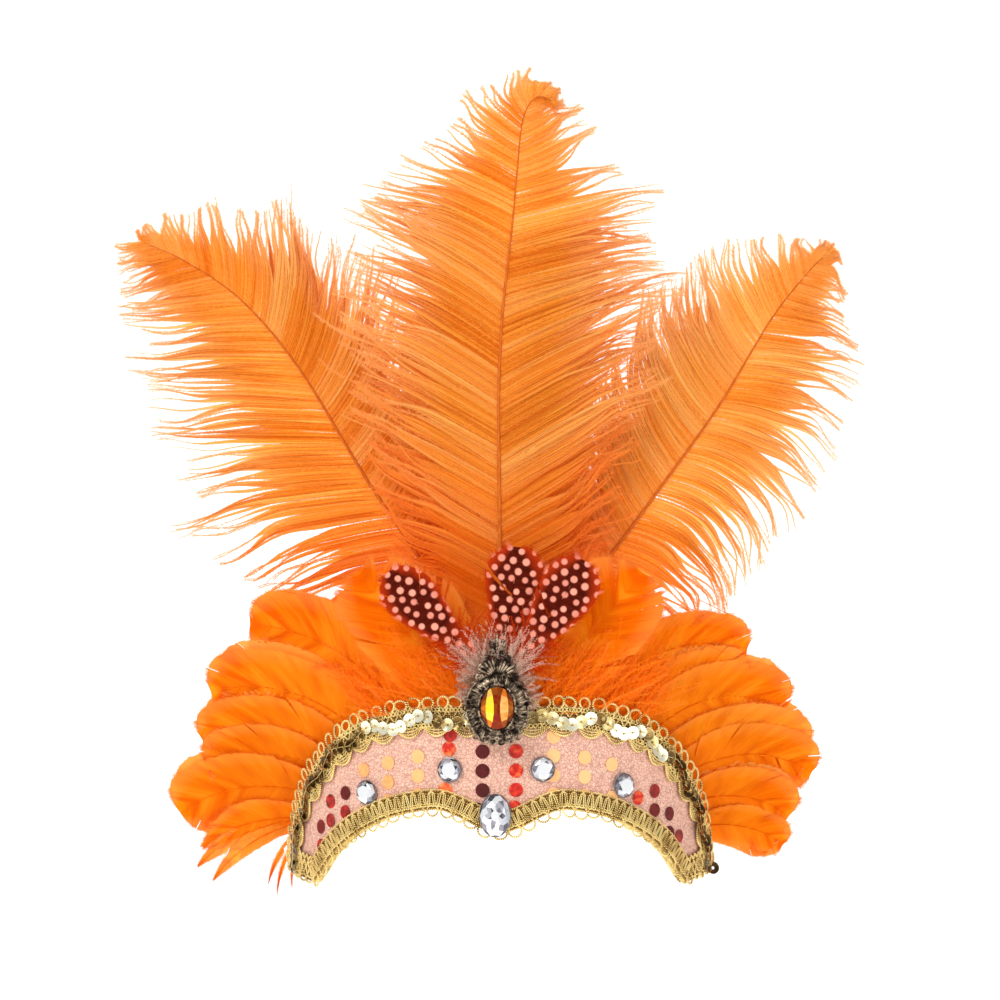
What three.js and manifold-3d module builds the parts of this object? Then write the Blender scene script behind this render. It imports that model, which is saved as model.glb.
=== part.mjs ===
// Carnival feather headdress: a crescent band with braid, stones and a brooch, carrying a fan of feathers.
// Millimetres, +Z up, +X to the wearer's left, +Y to the back of the head.
// The origin is on the band's inner face, where the forehead bears on it.
import * as THREE from 'three';
import { mergeVertices } from 'three/addons/utils/BufferGeometryUtils.js';
import Module from 'manifold-3d';

const wasm = await Module();
wasm.setup();

// Driving dimensions: the band
const headRadius = 90;
const bandThickness = 2;
const bandHalfAngle = THREE.MathUtils.degToRad(75);
const bandRise = 78;
const seatRise = 41;
const fitGap = 0.3;

// Driving dimensions: the fabric cover and its flat sequins
const coverThickness = 0.9;
const sequinRadius = 3;
const sequinHeight = 0.4;
const sequinRowPitch = 8.1;
const sequinSides = 7;

// Driving dimensions: the braids and the trim row
const braidThickness = 1;
const upperBraidWidth = 9;
const scallopDepth = 3.6;
const scallopPitch = 13.5;
const lowerBraidWidth = 7;
const picotPitch = 6.2;
const picotReach = 4.6;
const picotCord = 1.1;
const picotTaper = 0.8;
const trimSequinRadius = 2.6;
const trimSequinThickness = 0.7;
const trimSequinPitch = 5;
const trimWaist = 0.55;
const trimShoulder = 0.28;
const trimRowInset = 5.6;
const trimWave = 2;
const trimWavePitch = 25;

// Driving dimensions: the stones and the brooch
const rhinestoneRadius = 5;
const rhinestoneHeight = 3;
const dropStoneWidth = 13;
const dropStoneHeight = 18;
const dropStoneDepth = 5;
const stoneGirdle = 0.35;
const stoneCrown = 0.45;
const stoneTable = 0.62;
const stoneBack = 0.8;
const amberWidth = 13;
const amberHeight = 17.4;
const amberDepth = 4.5;
const broochWidth = 26;
const broochHeight = 29;
const broochPlate = 1.5;
const broochRim = 2.4;
const broochRimInset = 2;
const broochScallop = 0.9;
const broochPlateScallops = 14;
const broochRimScallops = 11;
const crestOverlap = 1;
const crestWidth = 12;
const crestHeight = 13;

// Driving dimensions: the feathers
const quillRadius = 1.5;
const quillSpacing = 9;
const quillTuck = 20;
const quillSides = 5;
const vaneThickness = 1.4;
const rachisThickness = 2.6;
const barbLength = 78;
const leftPlumeSpan = 155;
const leftPlumeRise = 199;
const centrePlumeSpan = 21.4;
const centrePlumeRise = 262;
const rightPlumeSpan = 143;
const rightPlumeRise = 195;
const leftPlumeLayer = 30;
const rightPlumeLayer = 21;
const plumeLean = 45;
const plumeCurl = 70;
const plumeSweep = 40;
const barbDroop = 6;
const plumeSettle = 42;
const lockShoulder = 0.8;
const lockNarrowing = 0.3;
const sideFanReach = 139;
const sideFanRise = 118;
const sideVaneThickness = 1;
const sideFeatherWidth = 30;
const sideFeatherTuck = 10;
const sideFanFlare = 0.12;
const sideFanSeat = 3.4;
const sideFeatherBend = 0.55;
const shingle = 0.22;
const guineaLength = 54;
const guineaWidth = 28;
const guineaThickness = 0.9;
const guineaStep = 2.1;
const downReach = 13;
const downThickness = 1.5;
const downLocks = 16;
const downValley = 3.2;
const downRise = 5;

// Driving dimensions: the hidden comb
const combWidth = 44;
const combBar = 6;
const combToothLength = 13;
const combThickness = 1.6;
const combTeeth = 6;
const combClearance = 1;
const combTop = bandRise - quillTuck - combClearance;

// The band's outline: turn is a share of the half angle, rise a share of the band's rise.
const bandOutline = [
  { lowerTurn: 0, lowerRise: 0.34, upperTurn: 0, upperRise: 1 },
  { lowerTurn: 0.071, lowerRise: 0.372, upperTurn: 0.093, upperRise: 1.004 },
  { lowerTurn: 0.141, lowerRise: 0.426, upperTurn: 0.18, upperRise: 1.006 },
  { lowerTurn: 0.213, lowerRise: 0.463, upperTurn: 0.273, upperRise: 1.003 },
  { lowerTurn: 0.3, lowerRise: 0.451, upperTurn: 0.373, upperRise: 0.978 },
  { lowerTurn: 0.393, lowerRise: 0.418, upperTurn: 0.467, upperRise: 0.942 },
  { lowerTurn: 0.48, lowerRise: 0.365, upperTurn: 0.56, upperRise: 0.888 },
  { lowerTurn: 0.567, lowerRise: 0.297, upperTurn: 0.653, upperRise: 0.801 },
  { lowerTurn: 0.647, lowerRise: 0.212, upperTurn: 0.76, upperRise: 0.673 },
  { lowerTurn: 0.713, lowerRise: 0.115, upperTurn: 0.88, upperRise: 0.48 },
  { lowerTurn: 0.75, lowerRise: 0.064, upperTurn: 0.953, upperRise: 0.295 },
  { lowerTurn: 0.771, lowerRise: 0.038, upperTurn: 1, upperRise: 0.1 },
];

// Columns of flat sequins on the cover: turn is a share of the half angle, top a share of the band's rise.
const sequinColumns = [
  { turn: -0.73, top: 0.33, count: 2 },
  { turn: -0.673, top: 0.472, count: 2 },
  { turn: -0.594, top: 0.522, count: 2 },
  { turn: -0.508, top: 0.651, count: 1 },
  { turn: -0.404, top: 0.695, count: 3 },
  { turn: -0.289, top: 0.732, count: 3 },
  { turn: -0.173, top: 0.771, count: 1 },
  { turn: -0.173, top: 0.555, count: 1 },
  { turn: -0.06, top: 0.762, count: 3 },
  { turn: 0.055, top: 0.764, count: 3 },
  { turn: 0.185, top: 0.751, count: 3 },
  { turn: 0.299, top: 0.727, count: 3 },
  { turn: 0.404, top: 0.686, count: 1 },
  { turn: 0.404, top: 0.506, count: 1 },
  { turn: 0.516, top: 0.468, count: 1 },
  { turn: 0.594, top: 0.533, count: 2 },
  { turn: 0.673, top: 0.405, count: 2 },
  { turn: 0.73, top: 0.277, count: 1 },
];

// Round stones on the cover, placed as the sequin columns are.
const rhinestonePlaces = [
  { name: 'rhinestone_1', turn: -0.488, rise: 0.532 },
  { name: 'rhinestone_2', turn: -0.172, rise: 0.663 },
  { name: 'rhinestone_3', turn: 0.146, rise: 0.668 },
  { name: 'rhinestone_4', turn: 0.447, rise: 0.571 },
];

// Shafts of the plumes: out is a share of the plume's span, rise a share of its rise over the band.
const leftShaft = [
  { out: 0.088, rise: 0.05 },
  { out: 0.145, rise: 0.19 },
  { out: 0.224, rise: 0.312 },
  { out: 0.374, rise: 0.487 },
  { out: 0.56, rise: 0.723 },
  { out: 0.723, rise: 0.872 },
  { out: 0.887, rise: 0.96 },
  { out: 1, rise: 1 },
];
const centreShaft = [
  { out: 0, rise: 0.05 },
  { out: 0, rise: 0.25 },
  { out: -0.03, rise: 0.48 },
  { out: 0.09, rise: 0.656 },
  { out: 0.31, rise: 0.82 },
  { out: 0.47, rise: 0.93 },
  { out: 1, rise: 1 },
];
const rightShaft = [
  { out: 0.1, rise: 0.05 },
  { out: 0.18, rise: 0.18 },
  { out: 0.288, rise: 0.285 },
  { out: 0.474, rise: 0.467 },
  { out: 0.66, rise: 0.656 },
  { out: 0.818, rise: 0.846 },
  { out: 0.941, rise: 0.959 },
  { out: 1, rise: 1 },
];

// Barbs of each side of a plume. Along is a share of the shaft and length a share of the longest barb.
// Lean is the angle from the shaft to the barb's tip, and curl how far the barb turns back to the shaft.
const leftOuterBarbs = [
  { along: 0.2, length: 0.8, lean: 78, curl: -20 },
  { along: 0.3, length: 0.98, lean: 77, curl: -24 },
  { along: 0.4, length: 0.97, lean: 70, curl: -16 },
  { along: 0.52, length: 1, lean: 62, curl: -8 },
  { along: 0.64, length: 0.82, lean: 52, curl: 0 },
  { along: 0.77, length: 0.6, lean: 48, curl: 0 },
  { along: 0.88, length: 0.41, lean: 30, curl: 4 },
  { along: 1, length: 0.1, lean: 12, curl: 0 },
];
const leftInnerBarbs = [
  { along: 0.2, length: 0.6, lean: 62, curl: 20 },
  { along: 0.3, length: 0.78, lean: 60, curl: 24 },
  { along: 0.5, length: 0.85, lean: 58, curl: 30 },
  { along: 0.62, length: 0.86, lean: 48, curl: 36 },
  { along: 0.7, length: 0.8, lean: 41, curl: 34 },
  { along: 0.78, length: 0.65, lean: 39, curl: 28 },
  { along: 0.86, length: 0.44, lean: 38, curl: 18 },
  { along: 0.93, length: 0.32, lean: 31, curl: 10 },
  { along: 1, length: 0.1, lean: 12, curl: 0 },
];
const centreLeftBarbs = [
  { along: 0.2, length: 0.62, lean: 62, curl: 0 },
  { along: 0.35, length: 0.86, lean: 60, curl: 0 },
  { along: 0.53, length: 0.95, lean: 61, curl: -8 },
  { along: 0.65, length: 0.92, lean: 67, curl: -20 },
  { along: 0.74, length: 0.87, lean: 74, curl: -26 },
  { along: 0.8, length: 0.78, lean: 78, curl: -22 },
  { along: 0.86, length: 0.6, lean: 72, curl: -10 },
  { along: 0.92, length: 0.37, lean: 52, curl: 14 },
  { along: 1, length: 0.16, lean: 22, curl: 10 },
];
const centreRightBarbs = [
  { along: 0.2, length: 0.62, lean: 62, curl: 0 },
  { along: 0.35, length: 0.85, lean: 60, curl: 0 },
  { along: 0.58, length: 0.98, lean: 63, curl: -8 },
  { along: 0.69, length: 0.92, lean: 72, curl: -12 },
  { along: 0.77, length: 0.8, lean: 70, curl: -8 },
  { along: 0.83, length: 0.63, lean: 68, curl: 6 },
  { along: 0.89, length: 0.47, lean: 50, curl: 22 },
  { along: 0.95, length: 0.25, lean: 40, curl: 14 },
  { along: 1, length: 0.14, lean: 18, curl: 6 },
];
const rightInnerBarbs = [
  { along: 0.2, length: 0.6, lean: 62, curl: 10 },
  { along: 0.32, length: 0.74, lean: 58, curl: 22 },
  { along: 0.5, length: 0.8, lean: 56, curl: 36 },
  { along: 0.64, length: 0.85, lean: 58, curl: 44 },
  { along: 0.74, length: 0.68, lean: 56, curl: 38 },
  { along: 0.82, length: 0.55, lean: 55, curl: 26 },
  { along: 0.9, length: 0.36, lean: 52, curl: 14 },
  { along: 1, length: 0.1, lean: 16, curl: 0 },
];
const rightOuterBarbs = [
  { along: 0.2, length: 0.45, lean: 62, curl: -10 },
  { along: 0.34, length: 0.7, lean: 86, curl: -46 },
  { along: 0.46, length: 0.82, lean: 96, curl: -60 },
  { along: 0.56, length: 0.84, lean: 92, curl: -58 },
  { along: 0.64, length: 0.8, lean: 82, curl: -40 },
  { along: 0.72, length: 0.74, lean: 72, curl: -22 },
  { along: 0.82, length: 0.6, lean: 68, curl: -14 },
  { along: 0.9, length: 0.4, lean: 70, curl: -10 },
  { along: 1, length: 0.1, lean: 30, curl: 0 },
];
const vaneStart = 0.2;
const quillReach = 0.23;
const locksPerSide = 14;

// How far a lock stays joined to its neighbours and how long it is beside the table, in turn.
const lockPattern = [
  { joined: 0.56, reach: 1 },
  { joined: 0.48, reach: 0.95 },
  { joined: 0.6, reach: 1.02 },
  { joined: 0.52, reach: 0.97 },
  { joined: 0.44, reach: 1.01 },
];

// Side feathers from top to bottom. Root is a share of the way from the band's middle to its tip, tipOut a
// share of the fan's reach, tipRise of its rise, bow of the feather's length, and width of the widest one.
const leftFeathers = [
  { name: 'base_fluff_left', root: 0.14, tipOut: 0.4, tipRise: 0.97, bow: 0.06, width: 0.75 },
  { name: 'side_feather_left_1', root: 0.25, tipOut: 0.77, tipRise: 0.95, bow: 0.12, width: 1.05 },
  { name: 'side_feather_left_2', root: 0.42, tipOut: 0.895, tipRise: 0.7, bow: 0.14, width: 1 },
  { name: 'side_feather_left_3', root: 0.53, tipOut: 0.925, tipRise: 0.525, bow: 0.14, width: 0.85 },
  { name: 'side_feather_left_4', root: 0.62, tipOut: 0.91, tipRise: 0.43, bow: 0.12, width: 0.8 },
  { name: 'side_feather_left_5', root: 0.72, tipOut: 1, tipRise: 0.25, bow: 0.12, width: 0.95 },
  { name: 'side_feather_left_6', root: 0.82, tipOut: 0.945, tipRise: 0.1, bow: 0.1, width: 0.5 },
];
const rightFeathers = [
  { name: 'base_fluff_right', root: 0.14, tipOut: 0.4, tipRise: 0.97, bow: 0.06, width: 0.75 },
  { name: 'side_feather_right_1', root: 0.27, tipOut: 0.762, tipRise: 0.86, bow: 0.2, width: 0.85 },
  { name: 'side_feather_right_2', root: 0.37, tipOut: 0.765, tipRise: 0.77, bow: 0.14, width: 0.7 },
  { name: 'side_feather_right_3', root: 0.46, tipOut: 0.885, tipRise: 0.64, bow: 0.18, width: 0.95 },
  { name: 'side_feather_right_4', root: 0.56, tipOut: 0.955, tipRise: 0.5, bow: 0.14, width: 0.75 },
  { name: 'side_feather_right_5', root: 0.66, tipOut: 0.97, tipRise: 0.4, bow: 0.16, width: 0.85 },
  { name: 'side_feather_right_6', root: 0.76, tipOut: 0.9, tipRise: 0.235, bow: 0.14, width: 0.85 },
  { name: 'side_feather_right_7', root: 0.86, tipOut: 0.885, tipRise: 0.13, bow: 0.12, width: 0.6 },
];
const vaneProfile = [
  { along: 0, spread: 0.14 },
  { along: 0.16, spread: 0.34 },
  { along: 0.38, spread: 0.84 },
  { along: 0.62, spread: 1 },
  { along: 0.84, spread: 0.92 },
  { along: 0.96, spread: 0.55 },
  { along: 1, spread: 0.2 },
];

// Spotted feathers: tilt is from upright, place is a share of the feather's width, layer one of its step,
// and reach one of its length.
const guineaFeathers = [
  { name: 'guinea_feather_left', tilt: -47, place: -0.2, layer: 1, reach: 1.05 },
  { name: 'guinea_feather_centre', tilt: 9, place: -0.04, layer: 0, reach: 1.05 },
  { name: 'guinea_feather_right', tilt: 34, place: 0.14, layer: 1, reach: 1.09 },
];
const guineaProfile = [
  { along: 0, spread: 0.1 },
  { along: 0.18, spread: 0.28 },
  { along: 0.4, spread: 0.78 },
  { along: 0.62, spread: 1 },
  { along: 0.82, spread: 0.93 },
  { along: 0.95, spread: 0.55 },
  { along: 1, spread: 0.2 },
];

// One side of the brooch's crest from its foot up: out and up are shares of its half width and height.
const crestOutline = [
  { out: 1, up: 0 },
  { out: 1, up: 0.45 },
  { out: 0.6, up: 0.62 },
  { out: 0.64, up: 0.9 },
];

// Places of the brooch and the drop stone on the band.
const broochPlace = { side: -1.2, rise: 78.2 };
const dropStonePlace = { side: -1.9, rise: 32.8 };

const outerRadius = headRadius + bandThickness;
const coverTop = fitGap + coverThickness;
const braidBottom = coverTop + sequinHeight + fitGap;
const braidTop = braidBottom + braidThickness;
const trimBottom = braidTop + fitGap;
const trimTop = trimBottom + 2 * trimSequinThickness;
const stoneSeat = coverTop + sequinHeight + fitGap;

// A point of the unrolled band, at a lift off its outer face, as a point in space.
function wrap(turnLength, rise, lift) {
  const angle = turnLength / outerRadius;
  const radius = outerRadius + lift;
  return new THREE.Vector3(
    radius * Math.sin(angle),
    headRadius - radius * Math.cos(angle),
    rise - seatRise,
  );
}

// An edge of the band in the unrolled plane, from its left tip to its right tip.
function edgeCurve(turnColumn, riseColumn) {
  const half = bandOutline.map((row) => new THREE.Vector2(
    row[turnColumn] * bandHalfAngle * outerRadius,
    row[riseColumn] * bandRise,
  ));
  const mirrored = half.slice(1).reverse().map((p) => new THREE.Vector2(-p.x, p.y));
  const curve = new THREE.SplineCurve([...mirrored, ...half]);
  curve.arcLengthDivisions = 400;
  return curve;
}

const lowerEdge = edgeCurve('lowerTurn', 'lowerRise');
const upperEdge = edgeCurve('upperTurn', 'upperRise');

// A point at a distance inside an edge, measured square to it in the unrolled plane.
function insideEdge(edge, share, inset) {
  const point = edge.getPointAt(share);
  const tangent = edge.getTangentAt(share);
  const side = edge === upperEdge ? 1 : -1;
  return new THREE.Vector2(point.x + side * inset * tangent.y, point.y - side * inset * tangent.x);
}

// Reads a column of a table of rows sorted by along, straight between the rows.
function tableValue(rows, along, column) {
  const next = rows.findIndex((row) => row.along >= along);
  if (next <= 0) {
    return rows[next === 0 ? 0 : rows.length - 1][column];
  }
  const before = rows[next - 1];
  const after = rows[next];
  const share = (along - before.along) / (after.along - before.along);
  return before[column] + (after[column] - before[column]) * share;
}

function signedVolume(points, faces) {
  let sum = 0;
  for (const [a, b, c] of faces) {
    sum += points[a].dot(new THREE.Vector3().crossVectors(points[b], points[c]));
  }
  return sum / 6;
}

// A closed geometry from points and faces, with the faces turned to point out.
function closedGeometry(points, faces) {
  const turned = signedVolume(points, faces) < 0 ? faces.map(([a, b, c]) => [a, c, b]) : faces;
  const geometry = new THREE.BufferGeometry();
  geometry.setAttribute('position', new THREE.Float32BufferAttribute(points.flatMap((p) => p.toArray()), 3));
  geometry.setIndex(turned.flat());
  return geometry;
}

// A sheet with a front and a back point for each of its corners, closed by walls along its open edges.
class Sheet {
  constructor() {
    this.front = [];
    this.back = [];
    this.faces = [];
  }

  point(front, back) {
    this.front.push(front);
    this.back.push(back);
    return this.front.length - 1;
  }

  quad(a, b, c, d) {
    this.faces.push([a, b, c], [a, c, d]);
  }

  triangle(a, b, c) {
    this.faces.push([a, b, c]);
  }

  geometry() {
    const count = this.front.length;
    const used = new Set();
    for (const [a, b, c] of this.faces) {
      used.add(`${a},${b}`).add(`${b},${c}`).add(`${c},${a}`);
    }
    const faces = [...this.faces, ...this.faces.map(([a, b, c]) => [a + count, c + count, b + count])];
    for (const edge of used) {
      const [a, b] = edge.split(',').map(Number);
      if (!used.has(`${b},${a}`)) {
        faces.push([b, a, a + count], [b, a + count, b + count]);
      }
    }
    return closedGeometry([...this.front, ...this.back], faces);
  }
}

// A sheet over a grid: pointAt gives the front and back points of a column and row.
function gridSheet(columns, rows, pointAt) {
  const sheet = new Sheet();
  const index = [];
  for (let i = 0; i <= columns; i += 1) {
    index.push([]);
    for (let j = 0; j <= rows; j += 1) {
      index[i].push(sheet.point(...pointAt(i / columns, j / rows, i, j)));
    }
  }
  for (let i = 0; i < columns; i += 1) {
    for (let j = 0; j < rows; j += 1) {
      sheet.quad(index[i][j], index[i + 1][j], index[i + 1][j + 1], index[i][j + 1]);
    }
  }
  return sheet.geometry();
}

function solidOf(geometry) {
  const bare = geometry.clone();
  bare.deleteAttribute('normal');
  bare.deleteAttribute('uv');
  const merged = mergeVertices(bare, 1e-4);
  return new wasm.Manifold(new wasm.Mesh({
    numProp: 3,
    vertProperties: Float32Array.from(merged.attributes.position.array),
    triVerts: Uint32Array.from(merged.index.array),
  }));
}

// One closed geometry from several that overlap.
function fuse(geometries) {
  const mesh = geometries.map(solidOf).reduce((whole, piece) => whole.add(piece)).getMesh();
  const geometry = new THREE.BufferGeometry();
  geometry.setAttribute('position', new THREE.BufferAttribute(Float32Array.from(mesh.vertProperties), 3));
  geometry.setIndex(new THREE.BufferAttribute(Uint32Array.from(mesh.triVerts), 1));
  return geometry;
}

function rod(points, radius, sides, steps) {
  const section = new THREE.Shape();
  for (let i = 0; i < sides; i += 1) {
    const angle = (2 * Math.PI * i) / sides;
    const corner = [radius * Math.cos(angle), radius * Math.sin(angle)];
    if (i === 0) {
      section.moveTo(...corner);
    } else {
      section.lineTo(...corner);
    }
  }
  const path = new THREE.CatmullRomCurve3(points);
  return new THREE.ExtrudeGeometry(section, { steps, bevelEnabled: false, extrudePath: path });
}

// Layers between the band's two edges
function bandLayer(low, high, columns, rows) {
  return gridSheet(columns, rows, (share, across) => {
    const lower = lowerEdge.getPoint(share);
    const upper = upperEdge.getPoint(share);
    const at = lower.lerp(upper, across);
    return [wrap(at.x, at.y, high), wrap(at.x, at.y, low)];
  });
}

const bandColumns = 28;
const bandRows = 2;

function band() {
  return bandLayer(-bandThickness, 0, bandColumns, bandRows);
}

// A flat disc lying on the band, its axis square to the band's face
function discOnBand(turnLength, rise, low, high) {
  const disc = new THREE.CylinderGeometry(sequinRadius, sequinRadius, high - low, sequinSides);
  disc.rotateY(Math.PI / sequinSides);
  disc.rotateZ(turnLength / outerRadius);
  const middle = wrap(turnLength, rise, (low + high) / 2);
  disc.translate(middle.x, middle.y, middle.z);
  return disc;
}

function sequinedCover() {
  const cover = bandLayer(fitGap, coverTop, bandColumns, bandRows);
  const discs = sequinColumns.flatMap((column) => {
    const turnLength = column.turn * bandHalfAngle * outerRadius;
    return Array.from({ length: column.count }, (_, row) => {
      const rise = column.top * bandRise - row * sequinRowPitch;
      return discOnBand(turnLength, rise, coverTop - coverThickness / 2, coverTop + sequinHeight);
    });
  });
  return fuse([cover, ...discs]);
}

// A strip of braid along an edge, with a row of open picot loops outside it
function braidStrip(edge, rows, widthAt) {
  const sheet = new Sheet();
  const cells = Math.round(edge.getLength() / picotPitch);
  const at = (place, inset) => {
    const flat = insideEdge(edge, THREE.MathUtils.clamp(place / cells, 0, 1), inset);
    return sheet.point(wrap(flat.x, flat.y, braidTop), wrap(flat.x, flat.y, braidBottom));
  };
  const column = (cell) => Array.from({ length: rows + 1 }, (_, row) => (
    at(cell, (row / rows) * widthAt(cell / cells))));
  const holeHalf = 0.5 - picotCord / picotPitch;
  let before = column(0);
  for (let cell = 0; cell < cells; cell += 1) {
    const middle = cell + 0.5;
    const after = column(cell + 1);
    const feet = [at(middle - holeHalf, 0), at(middle + holeHalf, 0)];
    const outer = [-0.5, 0.5].map((half) => at(middle + half * picotTaper, -picotReach));
    const inner = [-1, 1].map((hand) => at(middle + hand * holeHalf * picotTaper, picotCord - picotReach));
    sheet.quad(feet[0], before[0], outer[0], inner[0]);
    sheet.quad(inner[0], outer[0], outer[1], inner[1]);
    sheet.quad(inner[1], outer[1], after[0], feet[1]);
    sheet.triangle(before[1], before[0], feet[0]);
    sheet.quad(before[1], feet[0], feet[1], after[1]);
    sheet.triangle(after[1], feet[1], after[0]);
    for (let row = 1; row < rows; row += 1) {
      sheet.quad(before[row + 1], before[row], after[row], after[row + 1]);
    }
    before = after;
  }
  return sheet.geometry();
}

function upperBraid() {
  const scallops = Math.round(upperEdge.getLength() / scallopPitch);
  return braidStrip(upperEdge, 2, (share) => (
    upperBraidWidth + scallopDepth * Math.abs(Math.sin(Math.PI * scallops * share))));
}

function lowerBraid() {
  return braidStrip(lowerEdge, 1, () => lowerBraidWidth);
}

// The wavy row of overlapping sequins, each one a facetted disc that meets the next at a waist
function sequinTrim() {
  const sheet = new Sheet();
  const length = upperEdge.getLength();
  const cells = Math.round(length / trimSequinPitch) - 2;
  const at = (place, sideways, lift) => {
    const share = (place + 1) / (cells + 2);
    const wave = trimWave * Math.sin((2 * Math.PI * share * length) / trimWavePitch);
    const flat = insideEdge(upperEdge, share, trimRowInset + wave + sideways * trimSequinRadius);
    return sheet.point(wrap(flat.x, flat.y, lift), wrap(flat.x, flat.y, trimBottom));
  };
  const waist = (place) => [
    at(place, -trimWaist, trimTop - trimSequinThickness),
    at(place, trimWaist, trimTop),
  ];
  let before = waist(0);
  for (let cell = 0; cell < cells; cell += 1) {
    const after = waist(cell + 1);
    const middle = at(cell + 0.5, 0, trimTop + trimSequinThickness / 2);
    const shoulders = [cell + trimShoulder, cell + 1 - trimShoulder];
    const top = shoulders.map((place) => at(place, -1, trimTop));
    const bottom = shoulders.map((place) => at(place, 1, trimTop));
    const ring = [before[0], top[0], top[1], after[0], after[1], bottom[1], bottom[0], before[1]];
    ring.forEach((corner, k) => sheet.triangle(middle, corner, ring[(k + 1) % ring.length]));
    before = after;
  }
  return sheet.geometry();
}

// A cut stone seen along -Y: a table, a ring of crown facets, a girdle and a pavilion or a flat back
function cutStone(width, height, depth, sides) {
  const profile = [
    new THREE.Vector2(0, 0),
    new THREE.Vector2(stoneBack, 0),
    new THREE.Vector2(1, depth * stoneGirdle),
    new THREE.Vector2(1, depth * stoneCrown),
    new THREE.Vector2(stoneTable, depth),
    new THREE.Vector2(0, depth),
  ];
  const stone = new THREE.LatheGeometry(profile, sides);
  stone.scale(width / 2, 1, height / 2);
  stone.rotateX(Math.PI);
  return stone;
}

function rhinestone(place) {
  const turnLength = place.turn * bandHalfAngle * outerRadius;
  const stone = cutStone(2 * rhinestoneRadius, 2 * rhinestoneRadius, rhinestoneHeight, 10);
  stone.rotateZ(turnLength / outerRadius);
  const seat = wrap(turnLength, place.rise * bandRise, stoneSeat);
  stone.translate(seat.x, seat.y, seat.z);
  return stone;
}

function dropStone() {
  const stone = cutStone(dropStoneWidth, dropStoneHeight, dropStoneDepth, 12);
  const seat = wrap(dropStonePlace.side, dropStonePlace.rise, braidTop + fitGap);
  stone.translate(seat.x, seat.y, seat.z);
  return stone;
}

const guineaBack = trimTop + trimSequinThickness / 2 + fitGap;
const guineaFront = guineaBack + guineaStep + guineaThickness;
const downBack = guineaFront + fitGap;
const broochBack = downBack + downThickness + fitGap;

// An ellipse whose edge is a row of scallops
function scalloped(width, height, scallops) {
  const shape = new THREE.Shape();
  const corners = scallops * 3;
  for (let i = 0; i < corners; i += 1) {
    const angle = (2 * Math.PI * i) / corners;
    const reach = i % 3 === 0 ? -broochScallop : 0;
    const corner = [(width / 2 + reach) * Math.cos(angle), (height / 2 + reach) * Math.sin(angle)];
    if (i === 0) {
      shape.moveTo(...corner);
    } else {
      shape.lineTo(...corner);
    }
  }
  return shape;
}

// A flat plate seen along +Y, its back at a distance in front of the band's face
function frontPlate(shape, place, back, thickness, curveSegments) {
  const plate = new THREE.ExtrudeGeometry(shape, { depth: thickness, bevelEnabled: false, curveSegments });
  plate.rotateX(Math.PI / 2);
  plate.translate(place.side, -bandThickness - back, place.rise - seatRise);
  return plate;
}

function broochSetting() {
  const plateShape = scalloped(broochWidth, broochHeight, broochPlateScallops);
  const plate = frontPlate(plateShape, broochPlace, broochBack, broochPlate, 1);
  const rimWidth = broochWidth - 2 * broochRimInset;
  const rimShape = scalloped(rimWidth, rimWidth + broochHeight - broochWidth, broochRimScallops);
  const seat = new THREE.Path();
  seat.absellipse(0, 0, amberWidth / 2 + fitGap, amberHeight / 2 + fitGap, 0, 2 * Math.PI, false);
  rimShape.holes.push(seat);
  const rim = frontPlate(rimShape, broochPlace, broochBack + broochPlate / 2, broochPlate / 2 + broochRim, 6);
  const half = crestOutline.map(({ out, up }) => new THREE.Vector2((out * crestWidth) / 2, up * crestHeight));
  const mirrored = half.map((p) => new THREE.Vector2(-p.x, p.y)).reverse();
  const crestPlace = { side: broochPlace.side, rise: broochPlace.rise + broochHeight / 2 - crestOverlap };
  const crestShape = new THREE.Shape([...half, new THREE.Vector2(0, crestHeight), ...mirrored]);
  const crest = frontPlate(crestShape, crestPlace, broochBack, broochPlate + broochRim / 2, 1);
  return fuse([plate, rim, crest]);
}

function amberStone() {
  const stone = cutStone(amberWidth, amberHeight, amberDepth, 12);
  stone.translate(
    broochPlace.side,
    -bandThickness - broochBack - broochPlate - fitGap,
    broochPlace.rise - seatRise,
  );
  return stone;
}

// Soft down in locks round the brooch, fused to one backing
function downTuft() {
  const shape = new THREE.Shape();
  for (let i = 0; i < 2 * downLocks; i += 1) {
    const angle = (Math.PI * (i + 0.5)) / downLocks;
    const reach = i % 2 === 0 ? downReach : downValley;
    const corner = [
      (broochWidth / 2 + reach) * Math.cos(angle),
      (broochHeight / 2 + reach - downRise / 2) * Math.sin(angle),
    ];
    if (i === 0) {
      shape.moveTo(...corner);
    } else {
      shape.lineTo(...corner);
    }
  }
  const place = { side: broochPlace.side, rise: broochPlace.rise + downRise };
  return frontPlate(shape, place, downBack, downThickness, 1);
}

function guineaFeather(feather) {
  const tilt = THREE.MathUtils.degToRad(feather.tilt);
  const length = guineaLength * feather.reach;
  const rootRise = broochPlace.rise + broochHeight / 2;
  return gridSheet(guineaProfile.length - 1, 2, (_, across, row) => {
    const { along, spread } = guineaProfile[row];
    const sideways = (across - 0.5) * guineaWidth * spread;
    const x = feather.place * guineaWidth + along * length * Math.sin(tilt) + sideways * Math.cos(tilt);
    const z = rootRise + along * length * Math.cos(tilt) - sideways * Math.sin(tilt);
    const y = -bandThickness - guineaBack - feather.layer * guineaStep;
    return [
      new THREE.Vector3(x, y - guineaThickness, z - seatRise),
      new THREE.Vector3(x, y, z - seatRise),
    ];
  });
}

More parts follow.
